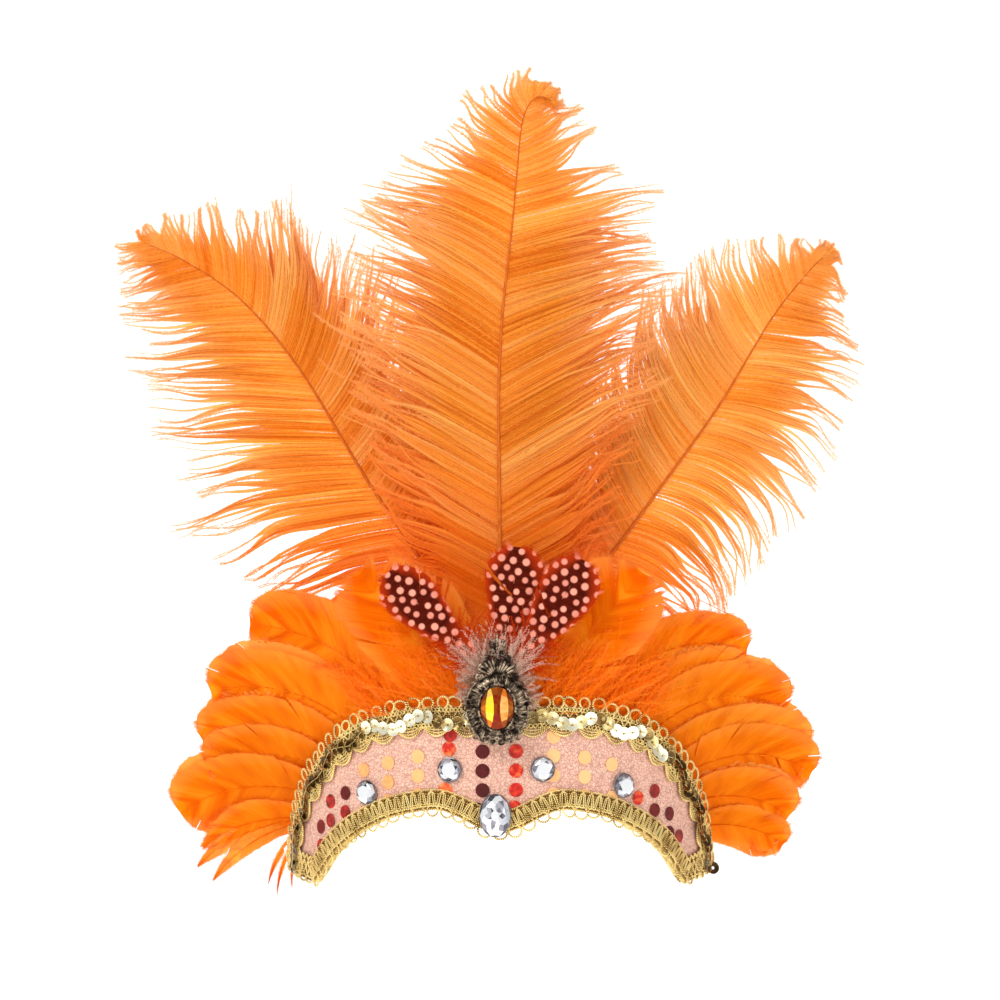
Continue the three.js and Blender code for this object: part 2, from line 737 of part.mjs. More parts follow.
// How far back the fan of plumes lies at a place in front view
function plumeDepth(x, rise, layer) {
  const height = (rise - bandRise) / centrePlumeRise;
  const settle = THREE.MathUtils.smoothstep(rise, bandRise, bandRise + plumeSettle);
  const behindBand = headRadius - Math.sqrt(headRadius ** 2 - Math.min(Math.abs(x), quillSpacing * 2) ** 2);
  const lean = Math.max(height, 0) * plumeLean - Math.max(height, 0) ** 3 * plumeCurl;
  const sweep = plumeSweep * (x / sideFanReach) ** 2;
  return behindBand + fitGap + quillRadius + lean + settle * (layer + sweep);
}

function shaftCurve(plume) {
  const points = plume.shaft.map((row) => new THREE.Vector2(
    plume.side * row.out * plume.span,
    bandRise + row.rise * plume.rise,
  ));
  const root = new THREE.Vector2(plume.quill, bandRise - quillTuck);
  return new THREE.SplineCurve([root, ...points]);
}

// A point of a barb in front view: reach runs from the shaft to the barb's tip.
function barbPoint(curve, barbs, hand, along, reach, stretch) {
  const root = curve.getPointAt(along);
  const tangent = curve.getTangentAt(along);
  const shaftAngle = Math.atan2(tangent.y, tangent.x);
  const length = barbLength * tableValue(barbs, along, 'length') * stretch;
  const lean = THREE.MathUtils.degToRad(tableValue(barbs, along, 'lean'));
  const curl = THREE.MathUtils.degToRad(tableValue(barbs, along, 'curl'));
  const first = shaftAngle + hand * (lean + curl / 2);
  const last = shaftAngle + hand * (lean - curl / 2);
  const middle = new THREE.Vector2(Math.cos(first), Math.sin(first)).multiplyScalar(length / 2).add(root);
  const tip = new THREE.Vector2(Math.cos(last), Math.sin(last)).multiplyScalar(length / 2).add(middle);
  return new THREE.QuadraticBezierCurve(root, middle, tip).getPoint(reach);
}

// A plume's vane: locks joined near the shaft and free further out, with the shaft as a ridge
function plumeVane(plume, curve) {
  const sheet = new Sheet();
  const add = (at, reach) => {
    const thick = reach === 0 ? rachisThickness : vaneThickness;
    const depth = plumeDepth(at.x, at.y, plume.layer) + barbDroop * reach * reach;
    const front = new THREE.Vector3(at.x, depth - thick / 2, at.y - seatRise);
    return sheet.point(front, new THREE.Vector3(at.x, depth + thick / 2, at.y - seatRise));
  };
  const alongOf = (lock) => vaneStart + (1 - vaneStart) * (lock / locksPerSide);
  const shaftPoints = Array.from({ length: locksPerSide + 1 }, (_, i) => (
    add(curve.getPointAt(alongOf(i)), 0)));
  for (const [hand, barbs] of [[1, plume.leftBarbs], [-1, plume.rightBarbs]]) {
    const inner = [];
    for (let i = 0; i <= locksPerSide; i += 1) {
      const { joined } = lockPattern[i % lockPattern.length];
      const line = [joined * 0.5, joined].map((reach) => (
        add(barbPoint(curve, barbs, hand, alongOf(i), reach, 1), reach)));
      inner.push([shaftPoints[i], ...line]);
    }
    const face = (a, b, c, d) => (hand > 0 ? sheet.quad(a, b, c, d) : sheet.quad(d, c, b, a));
    for (let i = 0; i < locksPerSide; i += 1) {
      for (let k = 0; k < 2; k += 1) {
        face(inner[i][k], inner[i + 1][k], inner[i + 1][k + 1], inner[i][k + 1]);
      }
      const { reach: stretch } = lockPattern[i % lockPattern.length];
      const middle = alongOf(i + 0.5);
      const half = (lockNarrowing * (1 - vaneStart)) / locksPerSide;
      const shoulder = (along) => (
        add(barbPoint(curve, barbs, hand, along, lockShoulder, stretch), lockShoulder));
      const low = shoulder(middle - half);
      const high = shoulder(Math.min(middle + half, 1));
      const tip = add(barbPoint(curve, barbs, hand, middle, 1, stretch), 1);
      face(inner[i][2], inner[i + 1][2], high, low);
      if (hand > 0) {
        sheet.triangle(low, high, tip);
      } else {
        sheet.triangle(low, tip, high);
      }
    }
  }
  return sheet.geometry();
}

function ostrichPlume(plume) {
  const curve = shaftCurve(plume);
  const quill = Array.from({ length: quillSides }, (_, i) => {
    const at = curve.getPointAt((quillReach * i) / (quillSides - 1));
    return new THREE.Vector3(at.x, plumeDepth(at.x, at.y, plume.layer), at.y - seatRise);
  });
  return fuse([rod(quill, quillRadius, quillSides, quillSides), plumeVane(plume, curve)]);
}

// How far back the side fans lie: on the band's inner face, then flaring out from its upper edge
const edgeSteps = 120;
const edgeSamples = Array.from({ length: edgeSteps + 1 }, (_, i) => {
  const point = upperEdge.getPointAt(0.5 + i / edgeSteps / 2);
  return { out: outerRadius * Math.sin(point.x / outerRadius), rise: point.y };
});

function sideFanDepth(x, rise) {
  let nearest = edgeSamples[0];
  let distance = Infinity;
  for (const sample of edgeSamples) {
    const gap = Math.hypot(sample.out - Math.abs(x), sample.rise - rise);
    if (gap < distance) {
      distance = gap;
      nearest = sample;
    }
  }
  const inside = Math.abs(x) <= nearest.out && rise <= bandRise;
  const out = inside ? Math.abs(x) : nearest.out;
  const onBand = headRadius - Math.sqrt(Math.max(headRadius ** 2 - Math.min(out, headRadius) ** 2, 0));
  return onBand + (inside ? 0 : sideFanFlare * distance);
}

function sideFeather(feather, side) {
  const share = 0.5 + side * feather.root * 0.5;
  const rootFlat = insideEdge(upperEdge, share, sideFeatherTuck);
  const rootPoint = wrap(rootFlat.x, rootFlat.y, -bandThickness);
  const root = new THREE.Vector2(rootPoint.x, rootFlat.y);
  const tip = new THREE.Vector2(side * feather.tipOut * sideFanReach, feather.tipRise * sideFanRise);
  const length = root.distanceTo(tip);
  const chord = tip.clone().sub(root).normalize();
  const upward = new THREE.Vector2(-side * chord.y, side * chord.x);
  const middle = root.clone().lerp(tip, sideFeatherBend).addScaledVector(upward, 2 * feather.bow * length);
  const curve = new THREE.QuadraticBezierCurve(root, middle, tip);
  return gridSheet(vaneProfile.length - 1, 2, (_, across, row) => {
    const { along, spread } = vaneProfile[row];
    const at = curve.getPointAt(along);
    const tangent = curve.getTangentAt(along);
    const sideways = (across - 0.5) * sideFeatherWidth * feather.width * spread;
    const x = at.x - side * tangent.y * sideways;
    const rise = at.y + side * tangent.x * sideways;
    const front = sideFanDepth(x, rise) + sideFanSeat - shingle * sideways;
    return [
      new THREE.Vector3(x, front, rise - seatRise),
      new THREE.Vector3(x, front + sideVaneThickness, rise - seatRise),
    ];
  });
}

// The comb's outline lies in the unrolled plane and is wrapped on to the band's inner face.
function hairComb() {
  const pitch = combWidth / (combTeeth * 2 - 1);
  const shape = new THREE.Shape();
  shape.moveTo(-combWidth / 2, combTop);
  for (let i = 0; i < combTeeth; i += 1) {
    const left = -combWidth / 2 + 2 * i * pitch;
    shape.lineTo(left, combTop - combBar);
    shape.lineTo(left, combTop - combBar - combToothLength);
    shape.lineTo(left + pitch, combTop - combBar - combToothLength);
    shape.lineTo(left + pitch, combTop - combBar);
  }
  for (let i = 2 * combTeeth - 1; i > 0; i -= 1) {
    shape.lineTo(-combWidth / 2 + i * pitch, combTop);
  }
  const comb = new THREE.ExtrudeGeometry(shape, { depth: combThickness, bevelEnabled: false });
  const position = comb.attributes.position;
  for (let i = 0; i < position.count; i += 1) {
    const lift = -bandThickness - fitGap - combThickness + position.getZ(i);
    position.setXYZ(i, ...wrap(position.getX(i), position.getY(i), lift).toArray());
  }
  return comb;
}

const headdress = new THREE.Group();

function addPiece(name, geometry, color, roughness, metalness) {
  const material = new THREE.MeshStandardMaterial({ color, roughness, metalness });
  const mesh = new THREE.Mesh(geometry, material);
  mesh.name = name;
  headdress.add(mesh);
}

const orange = 0xff850a;
const gold = 0xb8923a;

addPiece('band', band(), 0xe8a890, 0.9, 0);
addPiece('sequined_cover', sequinedCover(), 0xf0a58c, 0.7, 0);
addPiece('upper_braid', upperBraid(), gold, 0.45, 0.6);
addPiece('lower_braid', lowerBraid(), gold, 0.45, 0.6);
addPiece('sequin_trim', sequinTrim(), 0xc9a548, 0.2, 0.8);
addPiece('hair_comb', hairComb(), 0x3a2418, 0.4, 0);
addPiece('brooch_setting', broochSetting(), 0x4a3a26, 0.5, 0.9);
addPiece('amber_stone', amberStone(), 0xd98212, 0.05, 0);
addPiece('drop_stone', dropStone(), 0xd8dde4, 0.05, 0);
for (const place of rhinestonePlaces) {
  addPiece(place.name, rhinestone(place), 0xd8dde4, 0.05, 0);
}
addPiece('down_tuft', downTuft(), 0xb49a90, 0.95, 0);
for (const feather of guineaFeathers) {
  addPiece(feather.name, guineaFeather(feather), 0x50120a, 0.7, 0);
}
const plumes = [
  {
    name: 'ostrich_plume_left',
    shaft: leftShaft,
    side: -1,
    span: leftPlumeSpan,
    rise: leftPlumeRise,
    quill: -quillSpacing,
    layer: leftPlumeLayer,
    leftBarbs: leftOuterBarbs,
    rightBarbs: leftInnerBarbs,
  },
  {
    name: 'ostrich_plume_centre',
    shaft: centreShaft,
    side: 1,
    span: centrePlumeSpan,
    rise: centrePlumeRise,
    quill: 0,
    layer: 0,
    leftBarbs: centreLeftBarbs,
    rightBarbs: centreRightBarbs,
  },
  {
    name: 'ostrich_plume_right',
    shaft: rightShaft,
    side: 1,
    span: rightPlumeSpan,
    rise: rightPlumeRise,
    quill: quillSpacing,
    layer: rightPlumeLayer,
    leftBarbs: rightInnerBarbs,
    rightBarbs: rightOuterBarbs,
  },
];
for (const plume of plumes) {
  addPiece(plume.name, ostrichPlume(plume), orange, 0.8, 0);
}
for (const [side, feathers] of [[-1, leftFeathers], [1, rightFeathers]]) {
  for (const feather of feathers) {
    addPiece(feather.name, sideFeather(feather, side), orange, 0.7, 0);
  }
}

export default headdress;
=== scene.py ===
"""Dresses the feather headdress: plumes, side fans, spotted feathers, braids, sequins, stones and brooch."""

import bpy
import numpy as np
from mathutils import Matrix, Vector


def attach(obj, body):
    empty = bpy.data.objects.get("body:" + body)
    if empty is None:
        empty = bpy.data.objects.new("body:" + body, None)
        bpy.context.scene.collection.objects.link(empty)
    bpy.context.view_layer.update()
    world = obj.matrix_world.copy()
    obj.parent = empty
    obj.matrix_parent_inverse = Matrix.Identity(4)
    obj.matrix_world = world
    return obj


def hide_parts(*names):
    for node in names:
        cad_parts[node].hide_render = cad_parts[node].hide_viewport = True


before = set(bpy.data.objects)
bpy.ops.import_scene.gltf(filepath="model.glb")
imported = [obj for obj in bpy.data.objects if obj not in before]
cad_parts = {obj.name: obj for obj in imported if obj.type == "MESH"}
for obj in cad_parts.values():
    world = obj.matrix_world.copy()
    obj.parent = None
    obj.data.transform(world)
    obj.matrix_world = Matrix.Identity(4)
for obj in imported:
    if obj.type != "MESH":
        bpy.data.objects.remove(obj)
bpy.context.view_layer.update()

bl_info = {
    "name": "Feather headdress",
    "version": (1, 0, 0),
    "blender": (4, 5, 0),
    "location": "View3D > Sidebar > Headdress",
    "description": "Builds the looks of a carnival feather headdress around its packed model",
    "category": "Object",
}

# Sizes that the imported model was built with, in millimetres
MM = 0.001
HEAD_RADIUS = 90
BAND_THICKNESS = 2
OUTER_RADIUS = HEAD_RADIUS + BAND_THICKNESS
HALF_TURN = np.radians(75) * OUTER_RADIUS
BAND_RISE = 78
SEAT_RISE = 41
COVER_TOP = 1.2
BRAID_BOTTOM = 1.9
BRAID_TOP = 2.9
QUILL_SPACING = 9
QUILL_TUCK = 20
PLUME_RISE = 262
BARB_LENGTH = 78
FAN_REACH = 139
FAN_RISE = 118
FEATHER_WIDTH = 30
GUINEA_LENGTH = 54
GUINEA_WIDTH = 28
BROOCH_SIDE = -1.2
BROOCH_RISE = 78.2
BROOCH_BACK = 10.35
GUINEA_BACK = 5.25
DOWN_BACK = 8.55
DROP_SIDE = -1.9
DROP_RISE = 32.8
STONE_WIDTH = 9.8
DROP_STONE = (12.8, 17.8)
AMBER = (13.4, 17.8)

# Where a plume's barbs start and where those of its back set end, as shares of the shaft, then the back set's
# number of barbs as a share of the front set's and its distance behind it in millimetres
FIRST_BARB = .15
LAST_BACK_BARB = .77
BACK_SHARE = .62
BACK_GAP = 3

# Sizes of the looks alone, in millimetres
VANE_BARBS_PER_MM = .9
FLAT_SEQUIN_RADIUS = 3
FLAT_SEQUIN_PITCH = 8.1
TRIM_SEQUIN_RADIUS = 2.85
TRIM_PITCH = 4.3
TRIM_INSET = 5.8
TRIM_LIFT = 4.2
SCALLOP_PITCH = 13.5
SCALLOP_INSET = 8.6
LOWER_BRAID_WIDTH = 6.6
LOWER_TURN_PITCH = 3.7
SIDE_FAN_GAP = 3.6
VIEW_WIDTH = 420

# The band's outline: turn as shares of the half turn and rise as shares of the band's rise
LOWER_EDGE = [(0, .34), (.071, .372), (.141, .426), (.213, .463), (.3, .451), (.393, .418),
              (.48, .365), (.567, .297), (.647, .212), (.713, .115), (.75, .064), (.771, .038)]
UPPER_EDGE = [(0, 1), (.093, 1.004), (.18, 1.006), (.273, 1.003), (.373, .978), (.467, .942),
              (.56, .888), (.653, .801), (.76, .673), (.88, .48), (.953, .295), (1, .1)]

# Plumes. Quill: its place in the band, in spacings. Shaft: out as shares of the span and rise as shares of the
# rise over the band. Left and right: a row for places along the shaft, with the barbs' length, lean and curl
# there. Backed: the sides that have a second set of barbs behind, 1 for the left and -1 for the right
PLUMES = {
    "ostrich_plume_left": {
        "side": -1, "quill": -1, "span": 155, "rise": 199, "layer": 30, "seed": 3, "pale": 0, "backed": (-1,),
        "shaft": [(.088, .05), (.145, .19), (.224, .312), (.374, .487), (.56, .723), (.723, .872),
                  (.887, .96), (1, 1)],
        "left": [(.2, .8, 78, -20), (.3, .98, 77, -24), (.4, 1, 70, -16), (.52, 1.03, 62, -8),
                 (.64, .89, 54, -6), (.77, .72, 52, -8), (.87, .52, 46, -6), (.94, .38, 38, 0),
                 (1, .16, 22, 0)],
        "right": [(.2, .6, 62, 20), (.3, .78, 60, 24), (.5, .85, 58, 30), (.62, .86, 48, 36),
                  (.7, .8, 42, 34), (.78, .63, 42, 28), (.86, .44, 42, 18), (.93, .3, 44, 10),
                  (1, .1, 26, 0)],
    },
    "ostrich_plume_centre": {
        "side": 1, "quill": 0, "span": 21.4, "rise": 262, "layer": 0, "seed": 5, "pale": 0, "backed": (1, -1),
        "shaft": [(0, .05), (0, .25), (-.03, .48), (.02, .6), (.1, .675), (.235, .77), (.32, .845),
                  (.4, .915), (.47, .945), (.61, .967), (.8, .975), (1, .968)],
        "left": [(.2, .62, 62, 0), (.35, .86, 60, 0), (.53, .95, 61, -8), (.65, .92, 67, -20),
                 (.74, .87, 74, -26), (.8, .76, 76, -22), (.86, .57, 68, -4), (.92, .36, 54, 22),
                 (.96, .2, 46, 24), (1, .06, 22, 10)],
        "right": [(.2, .62, 62, 0), (.35, .85, 60, 0), (.58, .98, 63, -8), (.69, .92, 72, -12),
                  (.77, .8, 70, -8), (.83, .63, 66, 8), (.89, .45, 52, 22), (.95, .24, 42, 14),
                  (1, .08, 18, 6)],
    },
    "ostrich_plume_right": {
        "side": 1, "quill": 1, "span": 143, "rise": 195, "layer": 21, "seed": 7, "pale": .22, "backed": (1,),
        "shaft": [(.1, .05), (.18, .18), (.288, .285), (.474, .467), (.66, .656), (.818, .846),
                  (.941, .959), (1, 1)],
        "left": [(.2, .6, 62, 10), (.32, .74, 58, 22), (.5, .8, 56, 36), (.64, .85, 58, 44),
                 (.74, .68, 56, 38), (.82, .55, 55, 26), (.9, .34, 52, 14), (.96, .18, 40, 6), (1, .05, 16, 0)],
        "right": [(.2, .45, 66, -20), (.34, .72, 94, -58), (.46, .86, 102, -72), (.56, .84, 96, -66),
                  (.64, .76, 84, -44), (.72, .69, 73, -24), (.82, .56, 68, -14), (.9, .36, 70, -10),
                  (.96, .2, 60, -6), (1, .06, 30, 0)],
    },
}

# Side feathers from top to bottom: side, root, tip out, tip rise, bow and width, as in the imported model
SIDE_FEATHERS = {
    "base_fluff_left": (-1, .14, .4, .97, .06, .75),
    "side_feather_left_1": (-1, .25, .77, .95, .12, 1.05),
    "side_feather_left_2": (-1, .42, .895, .7, .14, 1),
    "side_feather_left_3": (-1, .53, .925, .525, .14, .85),
    "side_feather_left_4": (-1, .62, .91, .43, .12, .8),
    "side_feather_left_5": (-1, .72, 1, .25, .12, .95),
    "side_feather_left_6": (-1, .82, .945, .1, .1, .5),
    "base_fluff_right": (1, .14, .4, .97, .06, .75),
    "side_feather_right_1": (1, .27, .762, .86, .2, .85),
    "side_feather_right_2": (1, .37, .765, .77, .14, .7),
    "side_feather_right_3": (1, .46, .885, .64, .18, .95),
    "side_feather_right_4": (1, .56, .955, .5, .14, .75),
    "side_feather_right_5": (1, .66, .97, .4, .16, .85),
    "side_feather_right_6": (1, .76, .9, .235, .14, .85),
    "side_feather_right_7": (1, .86, .885, .13, .12, .6),
}
# What a side feather is drawn with from the top down, itself first: swing in degrees, length, width, distance
# behind, then the range of its tone. Those at the top of a fan are less spread, and the lowest has split into
# blades
SPREAD_LAYERS = [(0, 1, 1.06, 0, .25, .6), (5, .96, 1.06, 2, .6, .95), (-4, .88, .9, 3.6, 0, .3)]
CLOSE_LAYERS = [(0, 1, 1.06, 0, .25, .6), (1.5, .96, 1.06, 2, .6, .95), (-4, .88, .9, 3.6, 0, .3)]
CLOSE_FEATHERS = ("base_fluff_left", "base_fluff_right", "side_feather_left_1", "side_feather_right_1")
BLADES = [(2, .95, 1.3, 0, .5), (-6, 1.04, .62, .8, .8), (-15, .98, .5, 1.4, .75), (-38, .66, .16, 2.2, .8),
          (-47, .7, .12, 2.5, .7), (-55, .6, .12, 2.8, .8)]
BLADE_FEATHER = "side_feather_left_6"
# Upright vanes in the fluff: tip out, tip rise over the band, width and tone
FLUFF_VANES = [(13, 34, 27, .3), (24, 30, 24, .5), (5, 24, 22, .1), (40, 52, 32, .4), (60, 57, 38, .35)]

# Spotted feathers: tilt in degrees, root out, root over the brooch's middle, layer, length and seed
GUINEA_FEATHERS = {
    "guinea_feather_left": (-47, -.2, 18, 1, 1.05, 11),
    "guinea_feather_centre": (9, -.04, 14.5, 0, .99, 12),
    "guinea_feather_right": (34, .14, 14.5, 1, 1.05, 13),
}


# A point's tone: chance value, reach along its strand, place on the feather, 1
PLAIN_TONE = (.5, 0, 0, 1)


# ---- shapes in numbers ----
def smooth_line(points, steps=40):
    """A line through points that bends smoothly at each of them."""
    points = np.asarray(points, float)
    padded = np.vstack([points[:1], points, points[-1:]])
    t = np.linspace(0, 1, steps, endpoint=False)[:, None]
    line = []
    for a, b, c, d in zip(padded, padded[1:], padded[2:], padded[3:]):
        start, end = (c - a) / 2, (d - b) / 2
        line.append((2 * b - 2 * c + start + end) * t ** 3 + (3 * c - 3 * b - 2 * start - end) * t ** 2
                    + start * t + b)
    return np.vstack([*line, points[-1:]])


class Path:
    """A smooth line that is read by the share of its length."""

    def __init__(self, points, steps=40):
        self.points = smooth_line(points, steps)
        lengths = np.linalg.norm(np.diff(self.points, axis=0), axis=1)
        self.run = np.concatenate([[0], np.cumsum(lengths)])
        self.length = self.run[-1]

    def at(self, share):
        run = np.clip(share, 0, 1) * self.length
        return np.stack([np.interp(run, self.run, column) for column in self.points.T], -1)

    def heading(self, share):
        step = self.at(np.clip(share, 0, 1) + 2e-3) - self.at(np.clip(share, 0, 1) - 2e-3)
        return unit(step)


def unit(vectors):
    return vectors / np.maximum(np.linalg.norm(vectors, axis=-1, keepdims=True), 1e-9)


def bezier(start, middle, end, t):
    return start * (1 - t) ** 2 + 2 * middle * t * (1 - t) + end * t ** 2


def square_to(heading):
    """Headings in front view, turned a quarter to the left."""
    return np.stack([-heading[..., 1], heading[..., 0]], -1)


def turned(flat, angle):
    return flat @ np.array([[np.cos(angle), np.sin(angle)], [-np.sin(angle), np.cos(angle)]])


def smoothstep(values, low, high):
    t = np.clip((values - low) / (high - low), 0, 1)
    return t * t * (3 - 2 * t)


def wrap(turn, rise, lift):
    """A place on the unrolled band, at a lift off its outer face, as a point in space."""
    angle = np.asarray(turn) / OUTER_RADIUS
    radius = OUTER_RADIUS + np.asarray(lift)
    rise = np.broadcast_to(rise, np.broadcast(angle, radius).shape)
    return np.stack([radius * np.sin(angle), HEAD_RADIUS - radius * np.cos(angle), rise - SEAT_RISE], -1)


def outward(turn):
    angle = np.asarray(turn) / OUTER_RADIUS
    return np.stack([np.sin(angle), -np.cos(angle), np.zeros_like(angle)], -1)


def mirrored_edge(rows):
    half = np.array(rows) * [HALF_TURN, BAND_RISE]
    return np.vstack([half[:0:-1] * [-1, 1], half])


lower_edge = Path(mirrored_edge(LOWER_EDGE))
upper_edge = Path(mirrored_edge(UPPER_EDGE))
end_edges = [Path([upper_edge.points[-1], lower_edge.points[-1]]), Path([lower_edge.points[0], upper_edge.points[0]])]


def inside_edge(edge, share, inset):
    """A place at a distance inside an edge of the band, in the unrolled plane."""
    heading = edge.heading(share)
    side = -1 if edge is lower_edge else 1
    square = np.stack([heading[..., 1], -heading[..., 0]], -1) * side
    return edge.at(share) + square * np.asarray(inset)[..., None]


class Heap:
    """Gathers the points, faces, tones and flat places of one piece, in millimetres."""

    def __init__(self):
        self.points, self.tones, self.places = [], [], []
        self.corners, self.sizes, self.finish = [], [], []
        self.count = 0

    def add(self, points, faces, tones, places=None, finish=0):
        points = np.asarray(points, float).reshape(-1, 3)
        total = len(points)
        tones = np.broadcast_to(np.asarray(tones, float), (total, 4)) if np.ndim(tones) == 1 else tones
        places = np.zeros((total, 2)) if places is None else places
        self.points.append(points)
        self.tones.append(np.asarray(tones).reshape(-1, 4))
        self.places.append(np.asarray(places, float).reshape(-1, 2))
        self.corners.append(faces.ravel() + self.count)
        self.sizes.append(np.full(len(faces), faces.shape[1]))
        self.finish.append(np.full(len(faces), finish))
        self.count += total

    def grid(self, points, tones, places, finish=0, closed=False):
        """Sheets of points shaped (sheets, long, wide, 3), as quads."""
        sheets, long, wide = points.shape[:3]
        index = np.arange(sheets * long * wide).reshape(sheets, long, wide)
        if closed:
            index = np.concatenate([index, index[:, :, :1]], 2)
        faces = np.stack([index[:, :-1, :-1], index[:, 1:, :-1], index[:, 1:, 1:], index[:, :-1, 1:]], -1)
        self.add(points, faces.reshape(-1, 4), tones.reshape(-1, 4), places.reshape(-1, 2), finish)

    def tubes(self, lines, radius, sides, up, tone=PLAIN_TONE, finish=0):
        """Round cords along lines shaped (cords, steps, 3). Place runs round the cord and along it."""
        lines = np.asarray(lines, float)
        cords, steps = lines.shape[:2]
        heading = unit(np.gradient(lines, axis=1))
        side = unit(np.cross(heading, np.broadcast_to(up, lines.shape)))
        rise = np.cross(side, heading)
        radius = np.broadcast_to(radius, (cords, steps))[..., None, None]
        turn = np.arange(sides) * 2 * np.pi / sides
        ring = np.cos(turn)[:, None] * side[:, :, None] + np.sin(turn)[:, None] * rise[:, :, None]
        points = lines[:, :, None] + radius * ring
        run = np.concatenate([np.zeros((cords, 1)), np.cumsum(np.linalg.norm(np.diff(lines, axis=1), axis=2), 1)], 1)
        round_share = np.broadcast_to(np.abs(turn / np.pi - 1), (cords, steps, sides))
        places = np.stack([round_share, np.broadcast_to(run[:, :, None], (cords, steps, sides))], -1)
        tones = np.broadcast_to(np.asarray(tone, float), (cords, steps, sides, 4)) if np.ndim(tone) == 1 else tone
        self.grid(points, tones, places, finish, closed=True)
        caps = np.array([[0, k, k + 1] for k in range(1, sides - 1)])
        for k, flip in ((0, 1), (-1, -1)):
            ends = points[:, k].reshape(-1, 3)
            faces = (caps[:, ::flip][None] + sides * np.arange(cords)[:, None, None]).reshape(-1, 3)
            self.add(ends, faces, tones[:, k].reshape(-1, 4), places[:, k].reshape(-1, 2), finish)

    def ribbons(self, lines, widths, side, tones, finish=0):
        """Flat strands along lines shaped (strands, steps, 3)."""
        half = np.asarray(widths)[..., None] / 2 * side
        points = np.stack([lines - half, lines + half], 2)
        places = np.zeros(points.shape[:3] + (2,))
        places[:, :, 1, 0] = 1
        self.grid(points, np.repeat(tones[:, :, None], 2, 2), places, finish)

    def mesh(self, name):
        mesh = bpy.data.meshes.new(name)
        points, tones, places = (np.concatenate(part) for part in (self.points, self.tones, self.places))
        corners, sizes = np.concatenate(self.corners), np.concatenate(self.sizes)
        mesh.vertices.add(len(points))
        mesh.vertices.foreach_set("co", (points * MM).ravel())
        mesh.loops.add(len(corners))
        mesh.loops.foreach_set("vertex_index", corners.astype(np.int32))
        mesh.polygons.add(len(sizes))
        mesh.polygons.foreach_set("loop_start", np.concatenate([[0], np.cumsum(sizes)[:-1]]).astype(np.int32))
        mesh.polygons.foreach_set("material_index", np.concatenate(self.finish).astype(np.int32))
        mesh.polygons.foreach_set("use_smooth", np.ones(len(sizes), bool))
        mesh.update(calc_edges=True)
        mesh.uv_layers.new(name="place").data.foreach_set("uv", places[corners].ravel())
        mesh.attributes.new("tone", "FLOAT_COLOR", "POINT").data.foreach_set("color", tones.ravel())
        mesh.validate()
        return mesh


def put(name, heap, materials, slot, *nodes, flat=False):
    """Makes a piece of the heap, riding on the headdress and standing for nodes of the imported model."""
    mesh = heap.mesh(name)
    for material in materials:
        mesh.materials.append(material)
    if flat:
        mesh.shade_flat()
    piece = bpy.data.objects.new(name, mesh)
    bpy.context.scene.collection.objects.link(piece)
    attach(piece, "root")
    if nodes:
        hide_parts(*nodes)
    return piece


# ---- materials ----
def new_node(tree, kind, inputs=None, **settings):
    """Adds a node. An input's value is a number, a colour or another node's output."""
    node = tree.nodes.new(kind)
    for key, value in settings.items():
        setattr(node, key, value)
    for key, value in (inputs or {}).items():
        if isinstance(value, bpy.types.NodeSocket):
            tree.links.new(value, node.inputs[key])
        else:
            node.inputs[key].default_value = value
    return node


def blank_material(name):
    material = bpy.data.materials.new(name)
    material.use_nodes = True
    material.node_tree.nodes.clear()
    return material, material.node_tree


def principled(tree, inputs, glow=0.0):
    """The material's surface. Glow is the share of light that comes through from behind."""
    shader = new_node(tree, "ShaderNodeBsdfPrincipled", inputs).outputs[0]
    if glow:
        through = {"Color": inputs["Base Color"]}
        if "Normal" in inputs:
            through["Normal"] = inputs["Normal"]
        behind = new_node(tree, "ShaderNodeBsdfTranslucent", through).outputs[0]
        shader = new_node(tree, "ShaderNodeMixShader", {0: glow, 1: shader, 2: behind}).outputs[0]
    new_node(tree, "ShaderNodeOutputMaterial", {"Surface": shader})


def maths(tree, operation, a, b=0.0, c=0.0):
    return new_node(tree, "ShaderNodeMath", {0: a, 1: b, 2: c}, operation=operation).outputs[0]


def mix(tree, factor, a, b):
    return new_node(tree, "ShaderNodeMix", {0: factor, 6: a, 7: b}, data_type="RGBA").outputs[2]


def remap(tree, value, low, high, start=0.0, end=1.0):
    return new_node(tree, "ShaderNodeMapRange", {0: value, 1: low, 2: high, 3: start, 4: end}).outputs[0]


def noise(tree, where, scale, detail):
    return new_node(tree, "ShaderNodeTexNoise", {"Vector": where, "Scale": scale, "Detail": detail}).outputs[0]


def bump(tree, height, strength, distance):
    return new_node(tree, "ShaderNodeBump", {
        "Height": height, "Strength": strength, "Distance": distance}).outputs[0]


def object_place(tree):
    return new_node(tree, "ShaderNodeTexCoord").outputs["Object"]


def ramp(tree, value, *stops):
    """A colour ramp from stops of (position, colour)."""
    node = new_node(tree, "ShaderNodeValToRGB", {0: value})
    elements = node.color_ramp.elements
    while len(elements) < len(stops):
        elements.new(0.5)
    for element, (position, colour) in zip(elements, stops):
        element.position = position
        element.color = (*colour[:3], 1)
    return node.outputs[0]


def tone_parts(tree):
    """The piece's own tone: its chance value, its reach along the strand and its place on the feather."""
    colour = new_node(tree, "ShaderNodeAttribute", attribute_name="tone").outputs["Color"]
    return new_node(tree, "ShaderNodeSeparateColor", {0: colour}).outputs


def place_parts(tree):
    place = new_node(tree, "ShaderNodeUVMap", uv_map="place").outputs[0]
    return place, new_node(tree, "ShaderNodeSeparateXYZ", {0: place}).outputs


